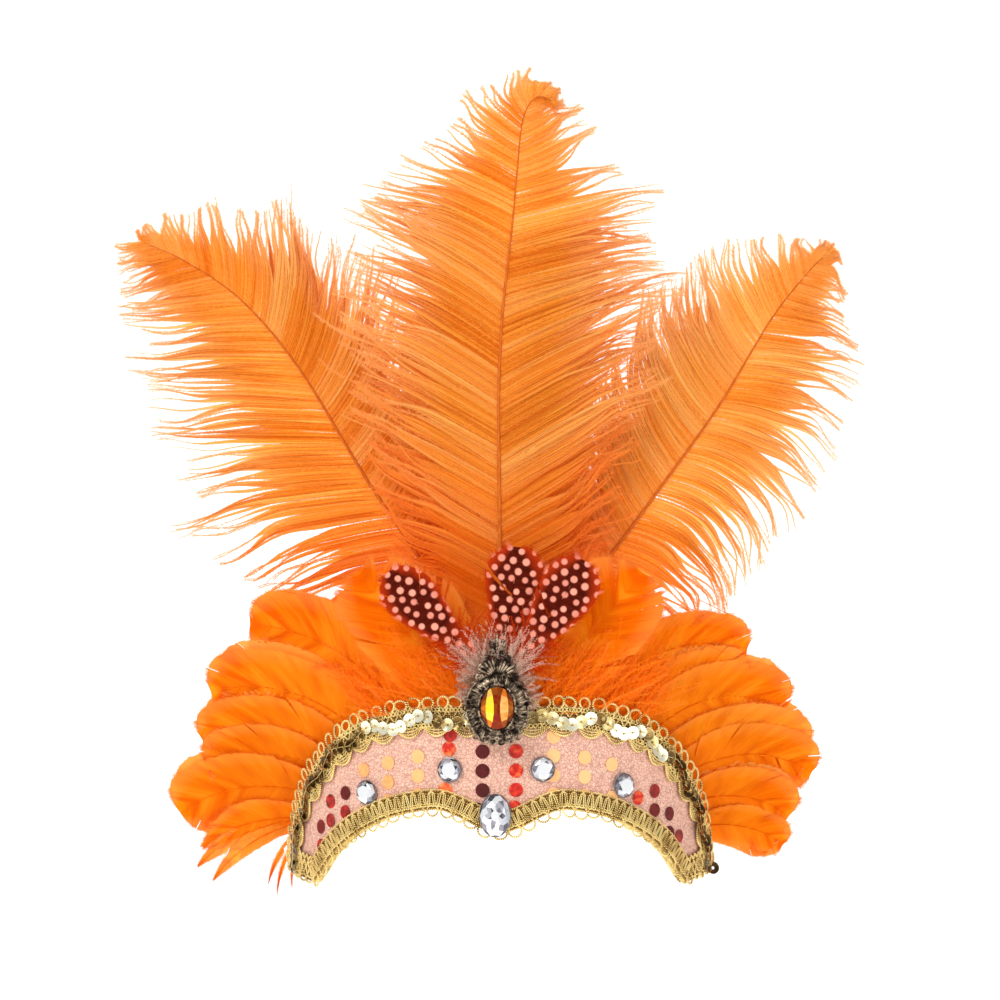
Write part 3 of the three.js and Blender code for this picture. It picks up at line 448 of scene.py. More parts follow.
def effect(name, sockets_in, sockets_out):
    """A shared shader effect with named inputs and outputs, made once."""
    group = bpy.data.node_groups.get(name)
    if group:
        return group, None, None, None
    group = bpy.data.node_groups.new(name, "ShaderNodeTree")
    for label, kind, value in sockets_in:
        socket = group.interface.new_socket(label, in_out="INPUT", socket_type=kind)
        if value is not None:
            socket.default_value = value
    for label, kind in sockets_out:
        group.interface.new_socket(label, in_out="OUTPUT", socket_type=kind)
    given = group.nodes.new("NodeGroupInput").outputs
    result = group.nodes.new("NodeGroupOutput").inputs
    return group, group, given, result


def use(tree, group, inputs):
    return new_node(tree, "ShaderNodeGroup", inputs, node_tree=group).outputs


def streaks_effect():
    """Fine lines that run along a feather's barbs, with slow patches between them that serve as painted fold shade and
    highlight.
    """
    group, tree, given, result = effect(
        "barb_streaks",
        [("Vector", "NodeSocketVector", None), ("Line Pitch", "NodeSocketFloat", .6)],
        [("Streak", "NodeSocketFloat"), ("Painted Folds", "NodeSocketFloat")])
    if tree:
        along = new_node(tree, "ShaderNodeSeparateXYZ", {0: given["Vector"]}).outputs
        across = maths(tree, "DIVIDE", along[1], given["Line Pitch"])
        drawn = new_node(tree, "ShaderNodeCombineXYZ", {0: maths(tree, "MULTIPLY", along[0], .06), 1: across})
        fine = new_node(tree, "ShaderNodeTexNoise", {"Vector": drawn.outputs[0], "Scale": 1.0, "Detail": 2.0})
        long = new_node(tree, "ShaderNodeVectorMath", {0: given["Vector"], 1: (.5, 1.3, 1)}, operation="MULTIPLY")
        slow = new_node(tree, "ShaderNodeTexNoise", {"Vector": long.outputs[0], "Scale": .085, "Detail": 2.0})
        tree.links.new(fine.outputs[0], result["Streak"])
        tree.links.new(slow.outputs[0], result["Painted Folds"])
    return group


def twist_effect():
    """The turns of a twisted cord, as a height."""
    group, tree, given, result = effect(
        "cord_twist", [("Vector", "NodeSocketVector", None), ("Turn Pitch", "NodeSocketFloat", 1.2)],
        [("Height", "NodeSocketFloat")])
    if tree:
        along = new_node(tree, "ShaderNodeSeparateXYZ", {0: given["Vector"]}).outputs
        turns = maths(tree, "DIVIDE", along[1], given["Turn Pitch"])
        phase = maths(tree, "ADD", turns, maths(tree, "MULTIPLY", along[0], .5))
        wave = maths(tree, "SINE", maths(tree, "MULTIPLY", phase, 2 * np.pi))
        tree.links.new(maths(tree, "MULTIPLY_ADD", wave, .5, .5), result["Height"])
    return group


def plume_material():
    """Dyed ostrich barbs: deep orange by the shaft, bright along the barb and peach at the tips, with painted shade
    between the barbs.
    """
    colours = bpy.context.scene.headdress_colours
    material, tree = blank_material("ostrich_barbs")
    chance, reach, along = tone_parts(tree)[:3]
    across = place_parts(tree)[1][0]
    body = ramp(tree, chance, (.05, colours.feather_shade), (.5, colours.feather), (.95, colours.feather_light))
    rim = maths(tree, "ABSOLUTE", maths(tree, "SUBTRACT", across, .5))
    tips = remap(tree, reach, .35, 1.0, 0.0, .7)
    high = remap(tree, along, .35, .62, .25, 1.0)
    body = mix(tree, maths(tree, "MULTIPLY", tips, high), body, colours.feather_pale)
    # Painted shade: each barb's edges darken to brown lines, standing for the shade between the barbs
    rim = remap(tree, rim, .26, .46, 0.0, .7)
    body = mix(tree, rim, body, colours.feather_gap_shade)
    foot = remap(tree, along, .46, .22, 0.0, .65)
    colour = mix(tree, foot, body, colours.feather_foot)
    principled(tree, {
        "Base Color": colour, "Roughness": .6, "Specular IOR Level": .08, "Specular Tint": (1, .5, .12, 1)}, .43)
    return material


def shaft_material():
    """The bare shaft of a plume: dyed horn, darker in streaks along it."""
    if "feather_shaft" in bpy.data.materials:
        return bpy.data.materials["feather_shaft"]
    colours = bpy.context.scene.headdress_colours
    material, tree = blank_material("feather_shaft")
    place = place_parts(tree)[0]
    grain = new_node(tree, "ShaderNodeTexNoise", {"Vector": new_node(tree, "ShaderNodeMapping", {
        "Vector": place, "Scale": (4, .25, 1)}).outputs[0], "Scale": 1.0, "Detail": 3.0}).outputs[0]
    colour = ramp(tree, grain, (.3, colours.shaft_dark), (.7, colours.shaft))
    relief = bump(tree, grain, .3, .0002)
    principled(tree, {
        "Base Color": colour, "Roughness": .5, "Specular IOR Level": .2, "Specular Tint": (1, .5, .2, 1),
        "Normal": relief})
    return material


# ---- plumes ----
def plume_depth(x, rise, layer):
    """How far back the fan of plumes lies at a place in front view."""
    height = np.maximum((rise - BAND_RISE) / PLUME_RISE, 0)
    settle = smoothstep(rise, BAND_RISE, BAND_RISE + 42)
    behind = HEAD_RADIUS - np.sqrt(HEAD_RADIUS ** 2 - np.minimum(np.abs(x), QUILL_SPACING * 2) ** 2)
    sweep = 40 * (x / FAN_REACH) ** 2
    return behind + 1.8 + height * 45 - height ** 3 * 70 + settle * (layer + sweep)


def read_table(rows, along):
    rows = np.array(rows, float)
    return [np.interp(along, rows[:, 0], rows[:, k]) for k in (1, 2, 3)]


def barb_lines(shaft, rows, hand, along, reach, length_change, lean_change):
    """Barbs as bent lines in front view, shaped (barbs, steps, 2)."""
    root = shaft.at(along)
    heading = shaft.heading(along)
    shaft_angle = np.arctan2(heading[:, 1], heading[:, 0])
    length, lean, curl = read_table(rows, along)
    length = BARB_LENGTH * length * length_change
    lean, curl = np.radians(lean + lean_change), np.radians(curl)
    first = shaft_angle + hand * (lean + curl / 2)
    last = shaft_angle + hand * (lean - curl / 2)
    middle = root + length[:, None] / 2 * np.stack([np.cos(first), np.sin(first)], -1)
    tip = middle + length[:, None] / 2 * np.stack([np.cos(last), np.sin(last)], -1)
    t = reach[None, :, None]
    return bezier(root[:, None], middle[:, None], tip[:, None], t)


def gather(lines, clumps, reach, start, pull):
    """Draws the barbs of each clump together towards their tips."""
    drawn = lines.copy()
    share = (smoothstep(reach, start, 1) * pull)[None, :, None]
    for clump in np.unique(clumps):
        members = clumps == clump
        middle = lines[members].mean(0, keepdims=True)
        drawn[members] = lines[members] * (1 - share) + middle * share
    return drawn


def clumps_of(chance, count, low, high):
    """Numbers neighbouring strands by the clump that they belong to."""
    ends = np.cumsum(chance.integers(low, high, count))
    return np.searchsorted(ends, np.arange(count), side="right")


def wander(chance, locks, strands, along, reach, sway):
    """How far the barbs stray sideways: locks and strands wave together, and each barb a little by itself."""
    count = len(along)
    grow = smoothstep(reach, .3, 1)
    offset = chance.normal(0, 1.6, count)[locks][:, None] * grow ** 2
    offset = offset + chance.normal(0, .9, count)[strands][:, None] * grow ** 2
    for clumps, waves, share, spread in ((locks, .95, 1.25, .8), (strands, 1.6, .7, 3),
                                         (np.arange(count), 2.9, .2, 3)):
        phase = (chance.normal(1.6, spread, count)[clumps] + 3 * along)[:, None]
        swing = (sway * share * chance.uniform(.3, 1.4, count)[clumps])[:, None]
        offset = offset + np.sin(2 * np.pi * waves * reach[None] + phase) * grow * swing
    return offset


def barb_width(lines, reach):
    """Barbs wide enough to meet their neighbours, thinner towards their tips."""
    gaps = np.linalg.norm(np.diff(lines, axis=0), axis=-1)
    near = np.minimum(np.vstack([gaps[:1], gaps]), np.vstack([gaps, gaps[-1:]]))
    return np.clip(near * 1.7, .45, 1.9) * np.interp(reach, [0, .4, .7, 1], [1, 1, .55, .2])


def barb_sets(plume):
    """A plume's sets of barbs: side, table, share of the barbs and how far behind."""
    tables = {1: plume["left"], -1: plume["right"]}
    return ([(hand, table, 1, 0) for hand, table in tables.items()]
            + [(hand, tables[hand], BACK_SHARE, BACK_GAP) for hand in plume["backed"]])


def build_plume(plume):
    """Barbs on both sides of a bent shaft, in locks and strands that wave together, with hairs on each barb."""
    sizes = bpy.context.scene.headdress_sizes
    chance = np.random.default_rng(plume["seed"])
    side, layer = plume["side"], plume["layer"]
    rows = np.array(plume["shaft"])
    points = np.stack([side * rows[:, 0] * plume["span"], BAND_RISE + rows[:, 1] * plume["rise"]], -1)
    shaft = Path(np.vstack([[plume["quill"] * QUILL_SPACING, BAND_RISE - QUILL_TUCK], points]))
    heap = Heap()
    reach = np.linspace(0, 1, 17)
    grow = smoothstep(reach, .3, 1)
    for hand, table, size, back in barb_sets(plume):
        count = int(sizes.barbs_per_side * size)
        reach_along = (LAST_BACK_BARB if back else 1) - FIRST_BARB
        along = FIRST_BARB + reach_along * (np.arange(count) + chance.uniform(.2, .8, count)) / count
        locks, strands = clumps_of(chance, count, 7, 19), clumps_of(chance, count, 2, 5)
        length = chance.normal(1, .07, count)[locks] * chance.normal(1, .075, count)[strands]
        loose = chance.uniform(0, 1, count) < .035
        length = length * chance.uniform(.93, 1.03, count) * np.where(loose, 1.1, 1) * (1 - .01 * back)
        lines = barb_lines(shaft, table, hand, along, reach, length, chance.normal(0, .8, count)[locks])
        if not back:
            lines = gather(lines, locks, reach, .36, .7)
        lines = gather(lines, strands, reach, .42, .9)
        heading = unit(np.gradient(lines, axis=1))
        sway = sizes.barb_wave / MM * np.interp(along, [.2, .5, 1], [2.9, 1.7, .8])
        lines = lines + square_to(heading) * wander(chance, locks, strands, along, reach, sway)[..., None]
        depth = plume_depth(lines[..., 0], lines[..., 1], layer) + 6 * reach ** 2 + back
        depth = depth + (chance.normal(0, 1.7, count)[locks] + chance.normal(0, .8, count)[strands])[:, None] * grow
        barbs = np.stack([lines[..., 0], depth, lines[..., 1] - SEAT_RISE], -1)
        along_barb = unit(np.gradient(barbs, axis=1))
        flat_side = unit(np.cross(along_barb, [0, 1.0, 0]))
        turn = chance.normal(0, .45, count)[:, None, None]
        across = unit(flat_side * np.cos(turn) + np.cross(along_barb, flat_side) * np.sin(turn))
        width = barb_width(lines, reach) * np.where(loose, .6, 1)[:, None]
        own_tone = chance.normal(.5, .15, count) + chance.normal(0, .13, count)[locks] + plume["pale"]
        tones = np.empty(barbs.shape[:2] + (4,))
        tones[..., 0], tones[..., 1] = np.clip(own_tone, 0, 1)[:, None], reach
        tones[..., 2], tones[..., 3] = along[:, None], 1
        heap.ribbons(barbs, width, across, tones)
        barbules(heap, barbs, along_barb, flat_side, tones, chance, sizes.barbules_per_barb)
    shares = np.linspace(0, 1, 90)
    line = shaft.at(shares)
    depth = plume_depth(line[:, 0], line[:, 1], layer)
    rod = np.stack([line[:, 0], depth - .3, line[:, 1] - SEAT_RISE], -1)
    radius = np.interp(shares, [0, .2, .7, 1], [1.3, .95, .5, .22])
    heap.tubes(rod[None], radius[None], 7, [0, -1.0, 0], finish=1)
    return heap


def barbules(heap, strands, heading, flat_side, tones, chance, each, longest=3.4):
    """Short hairs on both sides of each barb, as slim triangles."""
    count, steps = strands.shape[:2]
    for hand in (-1, 1):
        share = (np.arange(each) + chance.uniform(0, 1, (count, each))) / each * .985
        run = share * (steps - 1)
        low = np.minimum(run.astype(int), steps - 2)
        part = (run - low)[..., None]
        row = np.arange(count)[:, None]
        root = strands[row, low] * (1 - part) + strands[row, low + 1] * part
        forward, aside = heading[row, low], flat_side[row, low] * hand
        angle = np.radians(chance.normal(36, 9, share.shape))[..., None]
        lift = chance.normal(0, .3, share.shape)[..., None]
        out = unit(forward * np.cos(angle) + aside * np.sin(angle) + np.cross(forward, aside) * lift)
        length = (longest * (1 - .5 * share) * chance.uniform(.6, 1.15, share.shape))[..., None]
        tip = root + out * length
        base = forward * .17
        points = np.stack([root - base, root + base, tip], 2)
        tone = np.repeat(tones[row, low][:, :, None], 3, 2).copy()
        tone[..., 0] = np.clip(tone[..., 0] + .12 + chance.normal(0, .09, share.shape)[..., None], 0, 1)
        tone[:, :, 2, 1] = np.minimum(tone[:, :, 2, 1] + .12, 1)
        faces = np.arange(count * each * 3).reshape(-1, 3)
        heap.add(points, faces, tone.reshape(-1, 4), np.full((count * each * 3, 2), .5))


# ---- side fans ----
EDGE_SAMPLES = upper_edge.at(np.linspace(.5, 1, 121))
EDGE_OUT = OUTER_RADIUS * np.sin(EDGE_SAMPLES[:, 0] / OUTER_RADIUS)
BLADE_PROFILE = np.array([(0, .3), (.2, .7), (.45, 1), (.65, .95), (.82, .6), (.93, .28), (1, .05)])
DROP_PROFILE = np.array([(0, .14), (.15, .24), (.3, .42), (.5, .72), (.66, .94), (.78, 1.02), (.88, .92),
                         (.95, .68), (.985, .4), (1, .12)])
VANE_PROFILE = np.array([(0, .5), (.16, .66), (.34, .88), (.5, .98), (.62, 1.02), (.76, 1.03), (.86, 1),
                         (.93, .88), (.965, .72), (.985, .5), (1, .2)])


def fan_depth(x, rise):
    """How far back the side fans lie: on the band's inner face, then flaring out from its upper edge."""
    gaps = np.hypot(EDGE_OUT - np.abs(x)[..., None], EDGE_SAMPLES[:, 1] - rise[..., None])
    near_out = EDGE_OUT[gaps.argmin(-1)]
    inside = (np.abs(x) <= near_out) & (rise <= BAND_RISE)
    out = np.minimum(np.where(inside, np.abs(x), near_out), HEAD_RADIUS)
    on_band = HEAD_RADIUS - np.sqrt(HEAD_RADIUS ** 2 - out ** 2)
    return on_band + np.where(inside, 0, .12 * gaps.min(-1))


def vane(heap, spine, width, chance, depth_at, shade, splits, gape, seat=0.0, profile=VANE_PROFILE, foot=.4,
         fringe=2.2):
    """Both sides of a feather's vane, as barbs joined in groups that part a little at their ends.

    The barbs' ends differ in length, and a fringe of fine hairs softens the edge."""
    length = spine.length
    reach = np.linspace(0, 1, 9)
    for hand in (1, -1):
        count = int(length * VANE_BARBS_PER_MM)
        along = np.linspace(.03, .995, count)
        half = width / 2 * np.interp(along, *profile.T)
        end = np.minimum(along + half / length, 1 - (1 - along) * .12)
        root, tip_root = spine.at(along), spine.at(end)
        heading = spine.heading(end)
        reach_out = width / 2 * np.interp(end, *profile.T) * chance.normal(1, .012, count)
        tip = tip_root + square_to(heading) * hand * reach_out[:, None]
        bend = root + (tip - root) * .45 + square_to(spine.heading(along)) * hand * (reach_out * .1)[:, None]
        t = reach[None, :, None]
        cuts = np.sort(chance.uniform(.15, .97, splits))
        group = np.searchsorted(cuts, along)
        for k in range(splits + 1):
            members = np.flatnonzero(group == k)
            if len(members) < 2:
                continue
            members = np.append(members, members[-1] + 1) if members[-1] + 1 < count else members
            turn = np.radians(chance.normal(0, gape))
            a, b, c = root[members, None], bend[members, None], tip[members, None]
            lines = bezier(a, b, c, t)
            share = smoothstep(reach, .25, 1)[None, :, None]
            lines = lines * (1 - share) + (turned(lines - a, turn) + a) * share
            lift = chance.normal(0, .16) * smoothstep(reach, .3, 1)[None]
            depth, place = depth_at(lines, reach[None] * hand, along[members][:, None])
            points = np.stack([lines[..., 0], depth + lift + seat, lines[..., 1] - SEAT_RISE], -1)
            tones = np.empty(points.shape[:2] + (4,))
            tones[..., 0] = np.clip(shade + chance.normal(0, .07), 0, 1)
            tones[..., 1], tones[..., 3] = reach[None], 1
            tones[..., 2] = np.maximum(along[members][:, None], foot)
            if place is None:
                place = np.stack(np.broadcast_arrays(reach[None] * reach_out[members][:, None],
                                                     along[members][:, None] * length), -1)
            edge_hairs(heap, points, tones, place, chance, fringe, 10, .06)
            pale = tones + np.array([.2 * (foot > 0), 0, 0, 0])
            edge_hairs(heap, points, np.minimum(pale, 1), place, chance, fringe * 1.8, 8, .04)
            if hand < 0:
                points, tones, place = points[:, ::-1], tones[:, ::-1], place[:, ::-1]
            heap.grid(points[None], tones[None], place[None])


def edge_hairs(heap, points, tones, place, chance, longest, each, half_width):
    """Fine hairs that go on past the ends of a vane's barbs."""
    count = (len(points) - 1) * each
    row = np.minimum(chance.uniform(0, len(points) - 1, count), len(points) - 1.001)
    low, part = row.astype(int), (row % 1)[:, None]
    ends, inner = points[:, -1], points[:, -3]
    root = ends[low] * (1 - part) + ends[low + 1] * part
    out = unit(unit(ends[low] - inner[low]) + chance.normal(0, .17, (count, 3)) * [1, .4, 1])
    along = unit(ends[low + 1] - ends[low] + 1e-6)
    size = longest * chance.uniform(.1, 1, count)[:, None] ** 1.5
    base = along * half_width
    hairs = np.stack([root - base - out * .5, root + base - out * .5, root + out * size], 1)
    heap.add(hairs, np.arange(count * 3).reshape(-1, 3), np.repeat(tones[low, -1], 3, 0),
             np.repeat(place[low, -1], 3, 0))


def feather_rod(heap, spine, depth_at, thick, seat=0.0):
    """The shaft that shows on a vane, thinner towards its tip."""
    shares = np.linspace(0, .97, 30)
    line = spine.at(shares)
    depth, _ = depth_at(line[:, None], np.zeros((1, 1)), shares[:, None])
    rod = np.stack([line[:, 0], depth[:, 0] + seat - .3, line[:, 1] - SEAT_RISE], -1)
    heap.tubes(rod[None], np.interp(shares, [0, 1], [thick, thick * .2])[None], 5, [0, -1.0, 0],
               (.12, 0, .5, 1))


def side_spine(feather, swing, size):
    """A side feather's shaft in front view, swung about its root and sized."""
    side, root_share, out, rise, bow, _ = feather
    flat = inside_edge(upper_edge, np.array(.5 + side * root_share * .5), 10)
    root = np.array([wrap(flat[0], 0, -BAND_THICKNESS)[0], flat[1]])
    tip = np.array([side * out * FAN_REACH, rise * FAN_RISE])
    tip = root + turned(tip - root, np.radians(swing) * side) * size
    middle = root + (tip - root) * .55 + side * square_to(tip - root) * 2 * bow
    return Path(bezier(root, middle, tip, np.linspace(0, 1, 24)[:, None]), 4)


def build_side_feather(name, feather, seed):
    """One sickle-shaped feather of a side fan, with a second one showing from under it."""
    chance = np.random.default_rng(seed)
    side, width = feather[0], FEATHER_WIDTH * feather[5]
    heap = Heap()
    curl, ripple = chance.uniform(-2, 4), chance.uniform(0, 2 * np.pi)
    layers = [(*shape, chance.uniform(pale, deep)) for *shape, pale, deep in
              (CLOSE_LAYERS if name in CLOSE_FEATHERS else SPREAD_LAYERS)]
    profile = VANE_PROFILE
    if name == BLADE_FEATHER:
        layers, profile = BLADES, BLADE_PROFILE
    for swing, size, share, seat, shade in layers:
        spine = side_spine(feather, swing, size)

        def depth_at(lines, reach, along, spine=spine):
            middle = spine.at(along)
            heading = spine.heading(along)
            upper = side * ((lines[..., 1] - middle[..., 1]) * heading[..., 0]
                            - (lines[..., 0] - middle[..., 0]) * heading[..., 1])
            camber = 2.2 * (1 - np.clip(np.abs(upper) / (width / 2), 0, 1) ** 2)
            fold = curl * smoothstep(along, .55, 1) * reach ** 2
            wave = .8 * np.sin(upper * .42 + along * 5 + ripple) * smoothstep(along, .25, .7)
            return fan_depth(lines[..., 0], lines[..., 1]) + SIDE_FAN_GAP - .22 * upper - camber - fold + wave, None

        vane(heap, spine, width * share, chance, depth_at, shade, splits=4, gape=1.3, seat=seat, profile=profile,
             fringe=2.2)
        feather_rod(heap, spine, depth_at, .36, seat)
    return heap


def strand_lines(roots, directions, lengths, chance, curl):
    """Soft bent strands in space, shaped (strands, steps, 3)."""
    reach = np.linspace(0, 1, 8)
    aside = unit(np.cross(directions, chance.normal(0, 1, directions.shape)))
    bend = chance.normal(0, curl, len(roots))[:, None, None] * aside[:, None]
    t = reach[None, :, None]
    lines = roots[:, None] + lengths[:, None, None] * (directions[:, None] * t + bend * t ** 2 * .6)
    return lines, reach


def soft_strands(heap, roots, directions, lengths, chance, shade, width=.45, hairs=18, hair=2.6, curl=.5,
                 along=.5):
    """Loose strands with hairs on both sides. Along is their tone's place on the feather."""
    lines, reach = strand_lines(roots, directions, lengths, chance, curl)
    heading = unit(np.gradient(lines, axis=1))
    flat_side = unit(np.cross(heading, [0, 1.0, 0]) + 1e-6)
    tones = np.empty(lines.shape[:2] + (4,))
    tones[..., 0] = np.clip(chance.normal(shade, .2, len(roots)), 0, 1)[:, None]
    tones[..., 1], tones[..., 2], tones[..., 3] = reach, along, 1
    widths = np.interp(reach, [0, .3, 1], [width, width, .08])[None] * np.ones((len(roots), 1))
    heap.ribbons(lines, widths, flat_side, tones)
    barbules(heap, lines, heading, flat_side, tones, chance, hairs, hair)


def build_base_fluff(name, feather, seed):
    """Broad base feather with loose fluff over it, between the brooch and the side fan."""
    chance = np.random.default_rng(seed)
    heap = build_side_feather(name, feather, seed)
    side = feather[0]
    for out, rise, width, shade in FLUFF_VANES:
        spine = Path([(side * 6, BAND_RISE - 14), (side * (4 + out * .4), BAND_RISE + rise * .3),
                      (side * out, BAND_RISE + rise)])

        def depth_at(lines, reach, along):
            return 3.4 + .05 * np.abs(lines[..., 0]) + 2 * reach ** 2 + 0 * along, None

        vane(heap, spine, width, chance, depth_at, shade, splits=9, gape=5, foot=0, fringe=3.5)
    count = 330 if side > 0 else 220
    share = chance.uniform(0, .5, count) ** 1.2
    foot = inside_edge(upper_edge, .5 + side * share * .5, 3 - chance.uniform(0, 20, count))
    out = OUTER_RADIUS * np.sin(foot[:, 0] / OUTER_RADIUS)
    depth = fan_depth(out, foot[:, 1]) - chance.uniform(0, 4, count)
    roots = np.stack([out, depth, foot[:, 1] - SEAT_RISE], -1)
    angle = np.radians(chance.normal(56, 24, count))
    directions = unit(np.stack([np.cos(angle) * side, chance.normal(-.02, .04, count), np.sin(angle)], -1))
    soft_strands(heap, roots, directions, chance.uniform(14, 30, count), chance, .6, .28, 18, 3.2, along=.18, curl=.35)
    count = 9
    roots = np.stack([side * chance.uniform(66, 86, count), chance.uniform(28, 36, count),
                      chance.uniform(104, 126, count) - SEAT_RISE], -1)
    directions = unit(np.stack([np.full(count, side), np.zeros(count), chance.normal(-.2, .22, count)], -1))
    soft_strands(heap, roots, directions, chance.uniform(16, 27, count), chance, .05, .32, 3, .6, along=.5, curl=.6)
    return heap


def goose_material():
    """Dyed goose vane: satin orange with fine barb lines, painted fold shade and highlights, paler towards its edge."""
    colours = bpy.context.scene.headdress_colours
    material, tree = blank_material("goose_vane")
    chance, reach, along = tone_parts(tree)[:3]
    place = place_parts(tree)[0]
    streak = use(tree, streaks_effect(), {"Vector": place, "Line Pitch": .9})
    drift = maths(tree, "MULTIPLY_ADD", streak["Streak"], .5, maths(tree, "MULTIPLY_ADD", chance, .75, -.1))
    body = ramp(tree, drift, (.1, colours.goose_shade), (.45, colours.goose), (.85, colours.goose_light))
    # Painted shade and painted highlight in slow patches, standing in for the vane's folds
    shade = remap(tree, streak["Painted Folds"], .5, .62, 0.0, .85)
    body = mix(tree, shade, body, colours.goose_shade)
    lit = remap(tree, streak["Painted Folds"], .46, .36, 0.0, .8)
    body = mix(tree, lit, body, colours.goose_light)
    pale = remap(tree, chance, .6, 1.0, 0.0, .6)
    body = mix(tree, pale, body, colours.goose_pale)
    edge = remap(tree, reach, .6, 1.0, 0.0, .3)
    body = mix(tree, edge, body, colours.goose_pale)
    low = remap(tree, along, .62, .42, 0.0, .3)
    body = mix(tree, low, body, colours.goose_light)
    foot = remap(tree, along, .35, .08, 0.0, .85)
    colour = mix(tree, foot, body, colours.feather_foot)
    relief = bump(tree, streak["Streak"], .55, .0004)
    principled(tree, {
        "Base Color": colour, "Roughness": .55, "Specular IOR Level": .05, "Specular Tint": (1, .4, .05, 1),
        "Normal": relief}, .3)
    return material


# ---- spotted feathers and down ----
def spots_effect():
    """Round spots in staggered rows, each a little off its place."""
    group, tree, given, result = effect(
        "feather_spots",
        [("Vector", "NodeSocketVector", None), ("Pitch", "NodeSocketFloat", 5.2),
         ("Spot Radius", "NodeSocketFloat", 1.35)],
        [("Mask", "NodeSocketFloat")])
    if tree:
        part = new_node(tree, "ShaderNodeSeparateXYZ", {0: given["Vector"]}).outputs
        rows = maths(tree, "DIVIDE", part[1], maths(tree, "MULTIPLY", given["Pitch"], .8))
        row = maths(tree, "FLOOR", rows)
        shift = maths(tree, "MULTIPLY", maths(tree, "FLOORED_MODULO", row, 2.0), .5)
        columns = maths(tree, "ADD", maths(tree, "DIVIDE", part[0], given["Pitch"]), shift)
        cell = new_node(tree, "ShaderNodeCombineXYZ", {0: maths(tree, "FLOOR", columns), 1: row}).outputs[0]
        jitter = new_node(tree, "ShaderNodeTexWhiteNoise", {0: cell}, noise_dimensions="2D").outputs["Color"]
        moved = new_node(tree, "ShaderNodeSeparateColor", {0: jitter}).outputs
        across = maths(tree, "SUBTRACT", maths(tree, "FRACT", columns), .5)
        along = maths(tree, "SUBTRACT", maths(tree, "FRACT", rows), .5)
        across = maths(tree, "MULTIPLY_ADD", maths(tree, "SUBTRACT", moved[0], .5), .3, across)
        along = maths(tree, "MULTIPLY_ADD", maths(tree, "SUBTRACT", moved[1], .5), .3, along)
        gap = new_node(tree, "ShaderNodeCombineXYZ", {
            0: maths(tree, "MULTIPLY", across, given["Pitch"]),
            1: maths(tree, "MULTIPLY", along, maths(tree, "MULTIPLY", given["Pitch"], .8))})
        distance = new_node(tree, "ShaderNodeVectorMath", {0: gap.outputs[0]}, operation="LENGTH").outputs["Value"]
        radius = maths(tree, "MULTIPLY", given["Spot Radius"], maths(tree, "MULTIPLY_ADD", moved[2], .25, .85))
        inside = maths(tree, "SUBTRACT", radius, distance)
        mask = remap(tree, inside, -.35, .3)
        tree.links.new(maths(tree, "MULTIPLY", mask, maths(tree, "MULTIPLY_ADD", moved[1], .3, .7)), result["Mask"])
    return group


def guinea_material():
    """Dark red guinea fowl vane with pale spots."""
    colours = bpy.context.scene.headdress_colours
    material, tree = blank_material("guinea_vane")
    _, reach, along = tone_parts(tree)[:3]
    place = place_parts(tree)[0]
    spots = use(tree, spots_effect(), {"Vector": place})
    streak = use(tree, streaks_effect(), {"Vector": place, "Line Pitch": .7})
    body = ramp(tree, streak["Streak"], (.3, colours.guinea_dark), (.75, colours.guinea))
    foot = remap(tree, along, .4, .1, 0.0, .8)
    rim = remap(tree, reach, .6, 1.0, 0.0, .65)
    body = mix(tree, maths(tree, "MAXIMUM", foot, rim), body, colours.guinea_foot)
    pale = maths(tree, "MULTIPLY", spots["Mask"], maths(tree, "MULTIPLY_ADD", rim, -.45, 1.0))
    colour = mix(tree, pale, body, colours.guinea_spot)
    relief = bump(tree, streak["Streak"], .5, .0003)
    principled(tree, {
        "Base Color": colour, "Roughness": .7, "Specular IOR Level": .1, "Specular Tint": (1, .3, .15, 1),
        "Normal": relief})
    return material


def build_guinea(feather):
    """A drop-shaped spotted feather with loose red barbs at its foot."""
    tilt, place_share, root_rise, layer, reach_share, seed = feather
    chance = np.random.default_rng(seed)
    tilt = np.radians(tilt)
    root = np.array([place_share * GUINEA_WIDTH, BROOCH_RISE + root_rise])
    way = np.array([np.sin(tilt), np.cos(tilt)])
    square = square_to(way)
    t = np.linspace(0, 1, 12)[:, None]
    bow = 1.2 * (1 - 2 * (tilt > 0))
    spine = Path(root + way * t * GUINEA_LENGTH * reach_share + square * np.sin(t * np.pi) * bow, 4)
    back = -BAND_THICKNESS - GUINEA_BACK - layer * 2.1 - .5
    heap = Heap()

    def depth_at(lines, reach, along):
        offset = lines - root
        across, down = offset @ square, offset @ way
        camber = 1.2 * (1 - np.clip(np.abs(across) / 15, 0, 1) ** 2)
        ripple = .25 * np.sin(down * .9 + across * .5)
        return back - camber + ripple, np.stack([across + seed * 1.3, down], -1)

    vane(heap, spine, GUINEA_WIDTH * (.78 if tilt < -.5 else .87), chance, depth_at, .5, splits=3, gape=1,
         profile=DROP_PROFILE, foot=0)
    feather_rod(heap, spine, depth_at, .2)
    count = 70
    share = chance.uniform(.02, .34, count)
    hand = chance.choice([-1, 1], count)
    start = spine.at(share) + square * (hand * chance.uniform(0, 5, count))[:, None]
    roots = np.stack([start[:, 0], back - chance.uniform(-.4, .8, count), start[:, 1] - SEAT_RISE], -1)
    lean = np.radians(chance.normal(48, 16, count)) * hand
    flat = way * np.cos(lean)[:, None] + square * np.sin(lean)[:, None]
    directions = unit(np.stack([flat[:, 0], chance.normal(0, .1, count), flat[:, 1]], -1))
    soft_strands(heap, roots, directions, chance.uniform(6, 13, count), chance, .5, width=.3, hairs=12, hair=2,
                 along=.04)
    return heap


# Down in sets: count, shortest and longest, nearest and farthest root as shares of the tuft, first and last angle
DOWN_SETS = [(170, 4, 9, .7, 1.0, -15, 195), (50, 4, 7, .6, .95, 180, 360), (55, 12, 21, .6, .95, 45, 80),
             (55, 12, 21, .6, .95, 100, 135)]


